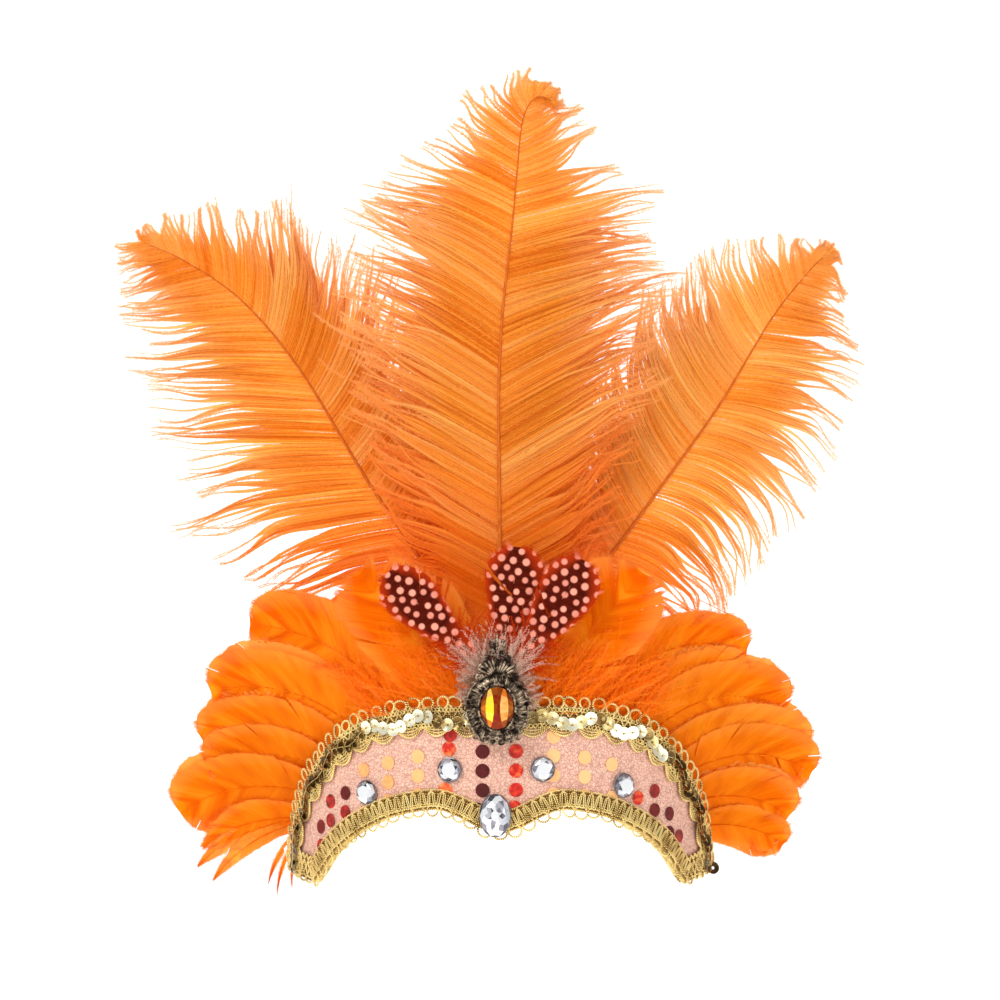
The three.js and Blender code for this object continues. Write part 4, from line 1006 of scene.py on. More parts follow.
def build_down():
    """Grey-pink down round the brooch, with a few long wisps above it."""
    chance = np.random.default_rng(21)
    heap = Heap()
    for count, low, high, near, far, first, last in DOWN_SETS:
        angle = np.radians(chance.uniform(first, last, count))
        edge = chance.uniform(near, far, count)
        roots = np.stack([BROOCH_SIDE + 13 * edge * np.cos(angle),
                          np.full(count, -BAND_THICKNESS - DOWN_BACK) - chance.uniform(0, 2.2, count),
                          BROOCH_RISE + 5 + 14 * edge * np.sin(angle) - SEAT_RISE], -1)
        spread = angle + chance.normal(0, .4, count)
        directions = unit(np.stack([np.cos(spread), chance.normal(-.08, .14, count), np.sin(spread)], -1))
        lengths = chance.uniform(low, high, count) * np.interp(np.sin(angle), [-1, -.4, 1], [.4, .75, 1.05])
        soft_strands(heap, roots, directions, lengths, chance, .5 + .25 * (low > 10), width=.11, hairs=17, hair=2.2,
                     curl=.6)
    return heap


def down_material():
    colours = bpy.context.scene.headdress_colours
    material, tree = blank_material("grey_down")
    chance = tone_parts(tree)[0]
    colour = ramp(tree, chance, (.1, colours.down_dark), (.5, colours.down), (.9, colours.down_pale))
    principled(tree, {
        "Base Color": colour, "Roughness": .8, "Specular IOR Level": .08}, .4)
    return material


# ---- the band ----
def band_shell(heap, low, high, columns, rows):
    """A layer of the band between two lifts, closed all round."""
    steps = np.linspace(0, len(lower_edge.points) - 1, columns + 1)
    index = np.arange(len(lower_edge.points))
    lower, upper = (np.stack([np.interp(steps, index, edge.points[:, k]) for k in (0, 1)], -1)
                    for edge in (lower_edge, upper_edge))
    across = np.linspace(0, 1, rows + 1)[None, :, None]
    flat = lower[:, None] * (1 - across) + upper[:, None] * across
    ring = np.concatenate([flat, flat[:, ::-1]], 1)
    lift = np.concatenate([np.full(rows + 1, low), np.full(rows + 1, high)])
    points = wrap(ring[..., 0], ring[..., 1], lift[None])
    tones = np.broadcast_to(PLAIN_TONE, points.shape[:2] + (4,))
    heap.grid(points[None], tones[None], ring[None], closed=True)
    wide = 2 * rows + 2
    caps = np.array([[k, k + 1, wide - k - 2, wide - k - 1] for k in range(rows)])
    for column, faces in ((0, caps[:, ::-1]), (-1, caps)):
        heap.add(points[column], faces, PLAIN_TONE, ring[column])


def felt_material():
    """Stiff salmon felt of the band's back, with fibres and a slight nap."""
    colours = bpy.context.scene.headdress_colours
    material, tree = blank_material("band_felt")
    where = object_place(tree)
    fibres = noise(tree, where, 900.0, 4.0)
    patches = noise(tree, where, 60.0, 2.0)
    body = ramp(tree, maths(tree, "MULTIPLY_ADD", patches, .4, maths(tree, "MULTIPLY", fibres, .6)),
                (.35, colours.fabric_shade), (.65, colours.fabric))
    relief = bump(tree, fibres, .6, .0003)
    principled(tree, {
        "Base Color": body, "Roughness": .92, "Sheen Weight": .3, "Normal": relief})
    return material


def net_material():
    """Salmon satin under an irregular net of fine mauve threads."""
    colours = bpy.context.scene.headdress_colours
    material, tree = blank_material("net_over_satin")
    place = place_parts(tree)[0]
    warp = new_node(tree, "ShaderNodeTexNoise", {"Vector": place, "Scale": .35, "Detail": 2.0}).outputs["Color"]
    moved = new_node(tree, "ShaderNodeVectorMath", {0: warp, "Scale": 2.2}, operation="SCALE").outputs[0]
    laid = new_node(tree, "ShaderNodeVectorMath", {0: place, 1: moved}, operation="ADD").outputs[0]
    cells = new_node(tree, "ShaderNodeTexVoronoi", {"Vector": laid, "Scale": .78, "Randomness": .8},
                     feature="DISTANCE_TO_EDGE").outputs["Distance"]
    thread = remap(tree, cells, .14, .04)
    cloth = noise(tree, place, .5, 3.0)
    weave = noise(tree, place, 5.0, 2.0)
    body = ramp(tree, maths(tree, "MULTIPLY_ADD", weave, .4, maths(tree, "MULTIPLY", cloth, .6)),
                (.35, colours.fabric_shade), (.62, colours.fabric))
    colour = mix(tree, maths(tree, "MULTIPLY", thread, .55), body, colours.net)
    relief = bump(tree, thread, .5, .0003)
    principled(tree, {
        "Base Color": colour, "Roughness": .58, "Sheen Weight": .15, "Normal": relief})
    return material


# Columns of flat sequins: turn as a share of the half turn, top as a share of the band's rise, count, shade
SEQUIN_COLUMNS = [
    (-.73, .33, 2, .16), (-.673, .472, 2, .2), (-.594, .522, 2, .14), (-.508, .651, 1, .7),
    (-.404, .695, 3, .75), (-.289, .732, 3, .9), (-.173, .853, 1, .26),
    (-.177, .775, 1, .5), (-.19, .555, 1, .55), (-.06, .762, 3, .02), (-.078, .45, 1, .04), (.055, .764, 3, .3),
    (.05, .462, 1, .3), (.185, .842, 4, .95), (.299, .727, 3, .95),
    (.404, .686, 1, .96), (.404, .506, 1, .96), (.516, .5, 1, .3), (.594, .533, 2, .1),
    (.673, .405, 2, .12), (.73, .277, 1, .2),
]


def sequin(heap, centre, normal, up, radius, tone, cup=0.0, hole=0.0, sides=18, finish=0, thick=.12, glint=0.0):
    """A thin disc, flat or cupped, with or without a hole, its rim crisp. Glint is the strength of the painted
    highlights on the rim and on one side, and of the painted shade round the hole.
    """
    across = unit(np.cross(up, normal))
    up = np.cross(normal, across)
    turn = np.arange(sides) * 2 * np.pi / sides
    spoke = np.cos(turn)[:, None] * across + np.sin(turn)[:, None] * up
    front = ((hole, -cup), (.3, -cup * .9), (.62, -cup * .7), (.86, -cup * .25), (1, 0))
    back = ((1, -thick), (.62, -cup * .7 - thick), (hole, -cup - thick))
    walls = [front, (front[-1], back[0]), back]
    if hole:
        walls.append((back[-1], front[0]))
    for wall in walls:
        rings = np.array([centre + radius * share * spoke + normal * lift for share, lift in wall])[None]
        tones = np.broadcast_to(np.asarray(tone, float), rings.shape[:3] + (4,)).copy()
        # Painted highlight on the rim and on one side of the cup, painted shade round the hole
        sheen = np.maximum(np.cos(turn - 2 * np.pi * tone[1]), 0) ** 6
        share = np.array([share for share, _ in wall])[None, :, None]
        rim, inner = np.interp(share, [.86, 1], [0, .8]), np.interp(share, [.25, .3, .62, .7], [0, 1, 1, 0])
        tones[..., 0] = np.clip(tones[..., 0] + glint * (rim + inner * sheen - .5 * (share < .2)), 0, 1)
        heap.grid(rings, tones, np.zeros(rings.shape[:3] + (2,)), finish, closed=True)


def build_cover():
    """The net fabric over the band, with its columns of flat sequins."""
    heap = Heap()
    band_shell(heap, .3, COVER_TOP, 220, 22)
    chance = np.random.default_rng(31)
    for turn, top, count, shade in SEQUIN_COLUMNS:
        for row in range(count):
            flat = turn * HALF_TURN, top * BAND_RISE - row * FLAT_SEQUIN_PITCH
            normal = unit(outward(flat[0]) + chance.normal(0, .035, 3))
            tone = [np.clip(shade + chance.normal(0, .05), 0, 1), chance.uniform(), 0, 1]
            sequin(heap, wrap(*flat, 1.6), normal, np.array([0, 0, 1.0]), FLAT_SEQUIN_RADIUS, tone, finish=1)
    return heap


# Colours of the two films, from a sequin that faces away to one that faces the light
SALMON_FILM = [(0, (.04, .0015, .0015)), (.14, (.2, .006, .003)), (.34, (.68, .02, .008)), (.6, (.98, .25, .06)),
               (.78, (1.0, .42, .15)), (1.0, (1.0, .52, .22))]
GOLD_FILM = [(0, (.04, .018, .005)), (.3, (.22, .12, .03)), (.6, (.78, .6, .24)), (.9, (.97, .93, .7))]


def film_material(name, stops, roughness, metallic, crease):
    """Metallised film whose colour follows each sequin's own tone, faintly creased, with painted glints and shade along
    the creases.
    """
    material, tree = blank_material(name)
    chance = tone_parts(tree)[0]
    where = object_place(tree)
    wrinkle = noise(tree, where, 420.0, 2.0)
    relief = bump(tree, wrinkle, crease, .0003)
    # Painted glints and painted shade: the colour shifts with the creases
    shift = maths(tree, "MULTIPLY", maths(tree, "SUBTRACT", wrinkle, .5), crease * 1.6)
    middle = maths(tree, "MULTIPLY", maths(tree, "PINGPONG", chance, .5), shift)
    principled(tree, {
        "Base Color": ramp(tree, maths(tree, "MULTIPLY_ADD", middle, 2.0, chance), *stops), "Metallic": metallic,
        "Roughness": maths(tree, "MULTIPLY_ADD", wrinkle, .12, roughness), "Specular IOR Level": .3,
        "Normal": relief})
    return material


def gold_cord_material():
    """Twisted gold thread, with a painted highlight on its turns and painted olive brown shade between them."""
    colours = bpy.context.scene.headdress_colours
    material, tree = blank_material("gold_cord")
    place = place_parts(tree)[0]
    where = object_place(tree)
    twist = use(tree, twist_effect(), {"Vector": place, "Turn Pitch": .9})["Height"]
    # Darker and brighter patches: tarnish, and painted reflection
    tarnish_and_reflection = noise(tree, where, 160.0, 3.0)
    body = ramp(tree, maths(tree, "MULTIPLY_ADD", twist, .4, maths(tree, "MULTIPLY", tarnish_and_reflection, .9)),
                (.36, colours.gold_hollow_shade), (.52, colours.gold), (.74, colours.gold_highlight))
    relief = bump(tree, twist, .8, .0003)
    principled(tree, {
        "Base Color": body, "Metallic": .5, "Roughness": .34, "Specular Tint": (1, .8, .45, 1),
        "Normal": relief})
    return material


def gimp_material():
    """The woven ground of a braid: gold threads across, mostly dark as painted shade behind the cords, with painted
    shade in the hollows.
    """
    colours = bpy.context.scene.headdress_colours
    material, tree = blank_material("gimp_ground")
    parts = place_parts(tree)[1]
    rib = maths(tree, "MULTIPLY_ADD", maths(tree, "SINE", maths(tree, "MULTIPLY", parts[0], 7.5)), .5, .5)
    cross = maths(tree, "MULTIPLY_ADD", maths(tree, "SINE", maths(tree, "MULTIPLY", parts[1], 6.0)), .5, .5)
    weave = maths(tree, "MULTIPLY", rib, cross)
    # Painted shade: the hollows of the weave and most of the ground go dark, as shade behind the cords
    body = ramp(tree, weave, (.1, colours.gold_hollow_shade), (.8, colours.gold))
    relief = bump(tree, weave, .9, .0004)
    principled(tree, {
        "Base Color": body, "Metallic": .5, "Roughness": .45, "Normal": relief})
    return material


def on_band(edge, share, inset, lift):
    """Points at a distance inside an edge of the band, and the directions that face away from the head there."""
    flat = inside_edge(edge, share, inset)
    return wrap(flat[..., 0], flat[..., 1], lift), outward(flat[..., 0])


def strip(heap, edge, inset_low, inset_high, low, high, columns, rows):
    """A flat strip of braid that follows an edge, closed all round. An inset is a number or a function."""
    share = np.linspace(.004, .996, columns + 1)
    first, last = (np.broadcast_to(inset(share) if callable(inset) else inset, share.shape)
                   for inset in (inset_low, inset_high))
    across = np.linspace(0, 1, rows + 1)
    inset = first[:, None] * (1 - across) + last[:, None] * across
    share_grid = np.broadcast_to(share[:, None], inset.shape)
    front, _ = on_band(edge, share_grid, inset, high)
    back, _ = on_band(edge, share_grid, inset, low)
    ring = np.concatenate([front, back[:, ::-1]], 1)
    place = np.stack([share_grid * edge.length, inset], -1)
    place = np.concatenate([place, place[:, ::-1]], 1)
    if edge is lower_edge:
        ring, place = ring[:, ::-1], place[:, ::-1]
    tones = np.broadcast_to(PLAIN_TONE, ring.shape[:2] + (4,))
    heap.grid(ring[None], tones[None], place[None], 1, closed=True)


def edge_cord(heap, edge, share, inset, lift, radius, sides=6):
    """A cord that follows an edge, or several cords where share and inset have a row for each."""
    line, normal = on_band(edge, share, inset, lift)
    if line.ndim == 2:
        line, normal = line[None], normal[None]
    heap.tubes(line, radius, sides, normal)


def picots(heap, edge, pitch, width, depth, radius, lift, seed):
    """A row of open loops of cord outside an edge, each a little different."""
    chance = np.random.default_rng(seed)
    cells = round(edge.length / pitch)
    turn = np.radians(np.linspace(-152, 152, 19))
    middle = (np.arange(cells) + .5) / cells + chance.normal(0, .15, cells) / edge.length
    wide, deep, lean = (chance.normal(*values, cells)[:, None] for values in ((1, .06), (1, .09), (0, .14)))
    reach = depth / 2 * (1 + np.cos(turn))[None] * deep
    across = width / 2 * np.sin(turn)[None] * wide + lean * reach
    share = middle[:, None] + across / edge.length
    line, normal = on_band(edge, share, .8 - reach, lift + .3 * np.sin(turn)[None])
    heap.tubes(line, radius, 6, normal)


def build_upper_braid():
    """Scalloped braid: woven ground, loops outside, plaited cords, and rays in the scallops."""
    heap = Heap()
    edge, length = upper_edge, upper_edge.length
    scallops = round(length / SCALLOP_PITCH)
    share = np.linspace(.003, .997, 900)

    def scallop(at, depth):
        return SCALLOP_INSET + depth * np.abs(np.sin(np.pi * scallops * at)) + 6 * smoothstep(np.abs(at - .5), .42, .5)

    strip(heap, edge, .2, lambda at: scallop(at, .4), BRAID_BOTTOM, BRAID_TOP - .5, 300, 5)
    picots(heap, edge, 6, 4.9, 4.7, .56, BRAID_TOP - .4, 51)
    for depth, radius in ((3.9, .5), (2.6, .34), (1.3, .34)):
        edge_cord(heap, edge, share, scallop(share, depth), BRAID_TOP - .35, radius)
    for inset, amplitude, wave_pitch, phase in ((1.5, .9, 3.1, 0), (1.5, .9, 3.1, np.pi), (3.4, 1.2, 4.4, .5),
                                                (8.0, .9, 3.6, 0), (8.0, .9, 3.6, np.pi), (6.2, 1.3, 5.0, 2)):
        sway = inset + amplitude * np.sin(2 * np.pi * share * length / wave_pitch + phase)
        edge_cord(heap, edge, share, sway, BRAID_TOP - .2 + .25 * np.cos(2 * np.pi * share * length / wave_pitch), .36)
    for seed, end in enumerate(end_edges, 52):
        strip(heap, end, .1, 9.5, BRAID_BOTTOM, BRAID_TOP - .6, 40, 4)
        picots(heap, end, 5.2, 4.6, 2.8, .45, BRAID_TOP - .4, seed)
        along = np.linspace(.02, .98, 120)
        for inset, swing in ((.6, .3), (2.8, 1.4), (5.6, 1.4), (8.6, .9)):
            sway = inset + swing * np.sin(2 * np.pi * along * end.length / 3.4 + inset)
            edge_cord(heap, end, along, sway, BRAID_TOP - .25, .4)
    spoke = (np.arange(scallops * 6) + .5) / (scallops * 6)
    reach = np.linspace(0, 1, 4)
    inset = 8.4 + (scallop(spoke, 3.7) - 8.4)[:, None] * reach
    edge_cord(heap, edge, np.broadcast_to(spoke[:, None], inset.shape), inset, BRAID_TOP - .5, .26, 5)
    return heap


def build_lower_braid():
    """Narrow braid with a meander of doubled cord, the bound edge of the band and small hanging loops."""
    heap = Heap()
    edge, length = lower_edge, lower_edge.length
    strip(heap, edge, .4, LOWER_BRAID_WIDTH, BRAID_BOTTOM, BRAID_TOP - .45, 240, 4)
    for bound in (edge, *end_edges):
        strip(heap, bound, -.9, -.06, -BAND_THICKNESS, BRAID_TOP - .5, 240, 2)
        along = np.linspace(.002, .998, 600)
        for lift in (-1.3, 0, 1.3):
            edge_cord(heap, bound, along, -.9 + .1 * np.sin(along * 900), lift, .55, 5)
    picots(heap, edge, 5.9, 5.2, 4.6, .42, BRAID_TOP - .4, 54)
    turns = round(length / LOWER_TURN_PITCH)
    share = np.linspace(.004, .996, turns * 18)
    phase = 2 * np.pi * turns * share
    swing = np.tanh(2.2 * np.sin(phase)) / np.tanh(2.2)
    for offset in (-.36, .36):
        inset = 3.6 + (2.9 + offset) * swing
        moved = share + offset / length * np.cos(phase)
        edge_cord(heap, edge, moved, inset, BRAID_TOP - .1, .27)
    for inset, radius in ((.3, .42), (1.2, .26), (7.2, .3)):
        edge_cord(heap, edge, share, inset + .15 * np.sin(phase * 2), BRAID_TOP - .35, radius)
    return heap


# Brightness of the sequin chain, as painted reflection, from left to right: place across the front as a share of the
# view's width, shade
TRIM_SHADES = np.array([(-.21, .04), (-.17, .12), (-.143, .22), (-.134, .9), (-.072, .97), (-.067, .15), (-.06, .5),
                        (.06, .6), (.07, .97), (.077, .2), (.083, .95), (.092, .95), (.098, .15), (.108, .4),
                        (.118, .97), (.14, 1), (.148, .2), (.156, .9), (.168, .85), (.173, .1), (.212, .03)])


def build_trim():
    """The wavy chain of overlapping cupped sequins, with the thread that holds them."""
    heap = Heap()
    chance = np.random.default_rng(41)
    edge, length = upper_edge, upper_edge.length
    count = round(length / TRIM_PITCH)
    share = (np.arange(count) + .7) / (count + .4)
    inset = TRIM_INSET + 2 * np.sin(2 * np.pi * share * length / 25) + 3 * smoothstep(np.abs(share - .5), .3, .42)
    centres, normals = on_band(edge, share, inset, TRIM_LIFT)
    heading = unit(np.gradient(centres, axis=0))
    # Each sequin's painted reflection, read from the table
    shades = np.interp(centres[:, 0] / VIEW_WIDTH, *TRIM_SHADES.T)
    for k in range(count):
        bright = shades[k]
        normal = normals[k] - heading[k] * chance.normal(.26 - .1 * bright, .05)
        normal = unit(normal + chance.normal(0, .12 - .06 * bright, 3))
        tone = [np.clip(bright + chance.normal(0, .08), 0, 1), chance.uniform(), 0, 1]
        up = unit(np.cross(normal, heading[k]))
        seat = centres[k] + normals[k] * (.3 * (k % 2) + chance.normal(0, .1))
        sequin(heap, seat, normal, up, TRIM_SEQUIN_RADIUS, tone, .55 - .35 * bright, .17, 14, thick=.1,
               glint=.5 - .35 * bright)
    line = centres + normals * .25
    heap.tubes(line[None], .16, 5, normals[None], finish=1)
    tip = wrap(HALF_TURN * .99, 6.4, 3.6)
    sequin(heap, tip, unit(np.array([.35, -1, .1])), np.array([0, 0, 1.0]), 2.7, [.02, .5, 0, 1], .5, .25, 16, glint=.4)
    return heap


# ---- stones and brooch ----
def cut_stone(heap, seat, normal, width, height, rings, shade, sides=8):
    """A cut stone: a table, then rings of facets that sit between each other, over a closed back.

    Rings are (share of the size, lift). Shade gives a facet's tone from its ring and its place in the stone."""
    across = unit(np.cross([0, 0, 1.0], normal))
    up = np.cross(normal, across)
    turn = (np.arange(sides)[None] + np.arange(len(rings))[:, None] / 2) * 2 * np.pi / sides
    size, lift = np.array(rings).T
    flat = size[:, None, None] * np.stack([np.cos(turn), np.sin(turn)], -1)
    ring = (seat + flat[..., :1] * width / 2 * across + flat[..., 1:] * height / 2 * up
            + lift[:, None, None] * normal)
    faces, tones = [], []
    for i in range(sides):
        j = (i + 1) % sides
        faces += [(seat + normal * lift[0], ring[0, i], ring[0, j]), (seat, ring[-1, j], ring[-1, i])]
        tones += [shade(0, (flat[0, i] + flat[0, j]) / 2), 0]
        for k in range(len(rings) - 1):
            faces += [(ring[k, i], ring[k + 1, i], ring[k, j]), (ring[k + 1, i], ring[k + 1, j], ring[k, j])]
            tones += [shade(k + 1, (flat[k, i] + flat[k, j]) / 2), shade(k + 2, (flat[k + 1, i] + flat[k + 1, j]) / 2)]
    tone = np.zeros((len(faces) * 3, 4))
    tone[:, 0] = np.repeat(tones, 3)
    heap.add(np.array(faces).reshape(-1, 3), np.arange(len(faces) * 3).reshape(-1, 3), tone)


def bezel(heap, seat, normal, width, height, radius, lift):
    """A wire round a stone."""
    across = unit(np.cross([0, 0, 1.0], normal))
    up = np.cross(normal, across)
    turn = np.linspace(0, 2 * np.pi, 49)
    line = (seat + normal * lift + (width / 2 + radius * .6) * np.cos(turn)[:, None] * across
            + (height / 2 + radius * .6) * np.sin(turn)[:, None] * up)
    heap.tubes(line[None], radius, 7, normal, (.15, 0, 0, 1))


# Round stones: turn as a share of the half turn and rise as a share of the band's rise
STONES = {"rhinestone_1": (-.488, .532), "rhinestone_2": (-.172, .663), "rhinestone_3": (.146, .668),
          "rhinestone_4": (.447, .571)}
# Rings of facets from the table down: share of the stone's size and lift
ROUND_CUT = [(.62, 3), (.84, 2.5), (1, 1.3), (.96, .6), (.84, 0)]
DROP_CUT = [(.26, 5), (.5, 4.7), (.72, 4.1), (.9, 3), (1, 1.9), (.96, .9), (.84, 0)]
# Colours of the stones' facets, from dark to bright: painted reflection, and for the amber its own colour too
CLEAR_FACETS = [(0, (.03, .03, .035)), (.3, (.26, .25, .29)), (.6, (.68, .69, .74)), (.95, (.97, .98, 1))]
AMBER_FACETS = [(.05, (.22, .012, .002)), (.3, (.3, .07, .006)), (.55, (.75, .2, .02)), (.75, (.95, .5, .14)),
                (.95, (1, .72, .03))]


def jewel_material(name, stops, metallic, roughness, coat):
    """A foil-backed cut stone: each facet has its own tone of painted reflection, clouded a little by the foil."""
    material, tree = blank_material(name)
    chance = tone_parts(tree)[0]
    where = object_place(tree)
    foil = noise(tree, where, 500.0, 1.0)
    tone = maths(tree, "ADD", chance, maths(tree, "MULTIPLY_ADD", foil, .3, -.15))
    principled(tree, {
        "Base Color": ramp(tree, tone, *stops), "Metallic": metallic, "Roughness": roughness,
        "Specular IOR Level": coat, "Coat Weight": coat, "Coat Roughness": .02})
    return material


def sparkle(seed, table):
    """Facet tones for a clear stone, as painted reflection: a bright table among light and dark facets."""
    chance = np.random.default_rng(seed)
    seen = {}

    def shade(ring, place):
        key = (ring, round(float(place[0]), 3), round(float(place[1]), 3))
        if key not in seen:
            seen[key] = table if ring == 0 else chance.choice([.05, .3, .5, .75, .95])
        return seen[key]

    return shade


def build_rhinestone(seed, turn, rise):
    heap = Heap()
    seat, normal = wrap(turn * HALF_TURN, rise * BAND_RISE, 1.9), outward(turn * HALF_TURN)
    cut_stone(heap, seat, normal, STONE_WIDTH, STONE_WIDTH, ROUND_CUT, sparkle(seed, 1))
    bezel(heap, seat, normal, 9.6, 9.6, .3, .9)
    return heap


def build_drop_stone():
    heap = Heap()
    seat, normal = wrap(DROP_SIDE, DROP_RISE, BRAID_TOP + .3), outward(DROP_SIDE)
    cut_stone(heap, seat, normal, *DROP_STONE, DROP_CUT, sparkle(91, .9), 10)
    bezel(heap, seat, normal, 12.4, 17.2, .35, 1.2)
    return heap


# Tones of the amber's facets, painted light and shade of the cut, a row for each height from below to the top: rim,
# left, middle, right, rim
AMBER_TONES = [(.15, .5, .06, .12, .3, .1), (.4, .9, .1, .04, .62, .3), (.5, .98, .2, .06, .74, .4),
               (.35, .93, .03, .1, .7, .3), (.2, .8, .3, .2, .55, .15)]


def build_amber():
    """An oval stone cut in tall facets, with painted light and shade: bright on the left and right, brown between and
    red below.
    """
    heap = Heap()
    seat = np.array([BROOCH_SIDE, -BAND_THICKNESS - BROOCH_BACK - 1.8, BROOCH_RISE - SEAT_RISE])
    width, height = AMBER
    sides = np.array([-1, -.72, -.2, 0, .18, .7, 1])
    heights = np.array([-1, -.66, -.24, .22, .64, 1])
    across, up = np.meshgrid(sides, heights)
    across[:, 1:-1] += np.outer(heights ** 2, [.16, -.2, 0, .2, -.16])
    round_out = np.sqrt(1 - np.minimum(across ** 2, 1))
    x, z = across * width / 2, up * height / 2 * np.maximum(round_out, .32)
    lift = 2.2 + 2.5 * (1 - across ** 4) * (1 - up ** 4)
    front = seat + np.stack([x, -lift, z], -1)
    for row in range(5):
        for k in range(6):
            corners = np.array([front[row, k], front[row, k + 1], front[row + 1, k + 1], front[row + 1, k]])
            tones = np.tile([AMBER_TONES[row][k], 0, 0, 1], (6, 1))
            heap.add(corners[[0, 1, 2, 0, 2, 3]], np.arange(6).reshape(2, 3), tones)
    rim = np.vstack([front[0], front[1:, -1], front[-1, -2::-1], front[-2:0:-1, 0]])
    back = rim * [1, 0, 1] + seat * [0, 1, 0]
    count = len(rim)
    tones = np.tile([.1, 0, 0, 1.0], (count * 2 + 1, 1))
    k = np.arange(count)
    after = (k + 1) % count
    walls = np.vstack([np.stack([k, k + count, after], -1), np.stack([after, k + count, after + count], -1),
                       np.stack([k + count, np.full(count, 2 * count), after + count], -1)])
    heap.add(np.vstack([rim, back, back.mean(0)]), walls, tones)
    return heap


def antique_material():
    """Darkened brass, brighter where it has been rubbed."""
    colours = bpy.context.scene.headdress_colours
    material, tree = blank_material("antique_brass")
    where = object_place(tree)
    worn = noise(tree, where, 380.0, 4.0)
    body = ramp(tree, worn, (.42, colours.antique_dark), (.6, colours.antique))
    relief = bump(tree, worn, .4, .0002)
    principled(tree, {
        "Base Color": body, "Metallic": .85, "Roughness": maths(tree, "MULTIPLY_ADD", worn, -.2, .5),
        "Normal": relief})
    return material


def comb_material():
    """Dark clouded plastic."""
    material, tree = blank_material("comb_plastic")
    cloud = noise(tree, object_place(tree), 120.0, 2.0)
    body = mix(tree, maths(tree, "MULTIPLY", cloud, .7), bpy.context.scene.headdress_colours.comb, (.2, .09, .03, 1))
    principled(tree, {"Base Color": body, "Roughness": .3})
    return material


BROOCH_MIDDLE = np.array([BROOCH_SIDE, -BAND_THICKNESS - BROOCH_BACK, BROOCH_RISE - SEAT_RISE])
CREST_FOOT = BROOCH_MIDDLE + np.array([0, -1.4, 13.5])
FORWARD = np.array([0, -1.0, 0])


def brooch_oval(turn, a, b, lift):
    return BROOCH_MIDDLE + np.stack([a * np.sin(turn), 0 * turn - lift, b * np.cos(turn)], -1)


def brooch_plate(heap):
    turn = np.linspace(0, 2 * np.pi, 65)
    plate = np.stack([brooch_oval(turn[:-1], 12.4 * share, 13.9 * share, lift) for share, lift in
                      ((0, .0), (.6, .0), (1, .1), (1.0, 1.2), (.75, 1.5), (.4, 1.5), (0, 1.5))])
    tones = np.broadcast_to(PLAIN_TONE, plate.shape[:2] + (4,))
    heap.grid(plate[None], tones[None], np.zeros(plate.shape[:2] + (2,))[None], closed=True)


def brooch_wires(heap):
    """A coil of wire round the plate, and a rope on either side of it."""
    turns = 38
    wind = np.linspace(-.86 * np.pi, .86 * np.pi, turns * 12)
    coil = turns * wind
    swell = 1.9 + .5 * np.cos(coil / 2) + .3 * np.cos(coil / 4)
    line = BROOCH_MIDDLE + np.stack([(10.6 + swell * np.cos(coil)) * np.sin(wind), -2.6 - 1.6 * np.sin(coil),
                                     (12.0 + swell * np.cos(coil)) * np.cos(wind)], -1)
    heap.tubes(line[None], .4, 5, FORWARD)
    for a, b, lift, radius, beads in ((7.7, 9.9, 3.0, .7, 40), (12.9, 14.4, 1.5, .5, 56)):
        fine = np.linspace(0, 2 * np.pi, beads * 6 + 1)
        swell = radius * (1 + .28 * np.cos(beads * fine))
        heap.tubes(brooch_oval(fine, a, b, lift)[None], swell[None], 7, FORWARD)


def brooch_loops(heap):
    """Small rings round the rim, and two rows of larger ones hanging below."""
    loop = np.linspace(0, 2 * np.pi, 13)
    for k in range(26):
        angle = 2 * np.pi * (k + .5) / 26
        centre = brooch_oval(np.array([angle]), 13.0, 14.4, 1.1)[0]
        ring = centre + np.stack([1.25 * np.sin(loop), 0 * loop - .2 * np.cos(loop), 1.25 * np.cos(loop)], -1)
        heap.tubes(ring[None], .32, 5, FORWARD)
    for drop, span, loops, lift in ((11.6, .62, 6, 3.6), (14.0, .56, 6, 2.6)):
        for angle in np.linspace(-span, span, loops):
            centre = BROOCH_MIDDLE + np.array([drop * np.sin(angle) * 1.1, -lift, -drop * np.cos(angle)])
            ring = centre + np.stack([1.6 * np.sin(loop), 0 * loop, 1.3 * np.cos(loop)], -1)
            heap.tubes(ring[None], .48, 6, FORWARD)


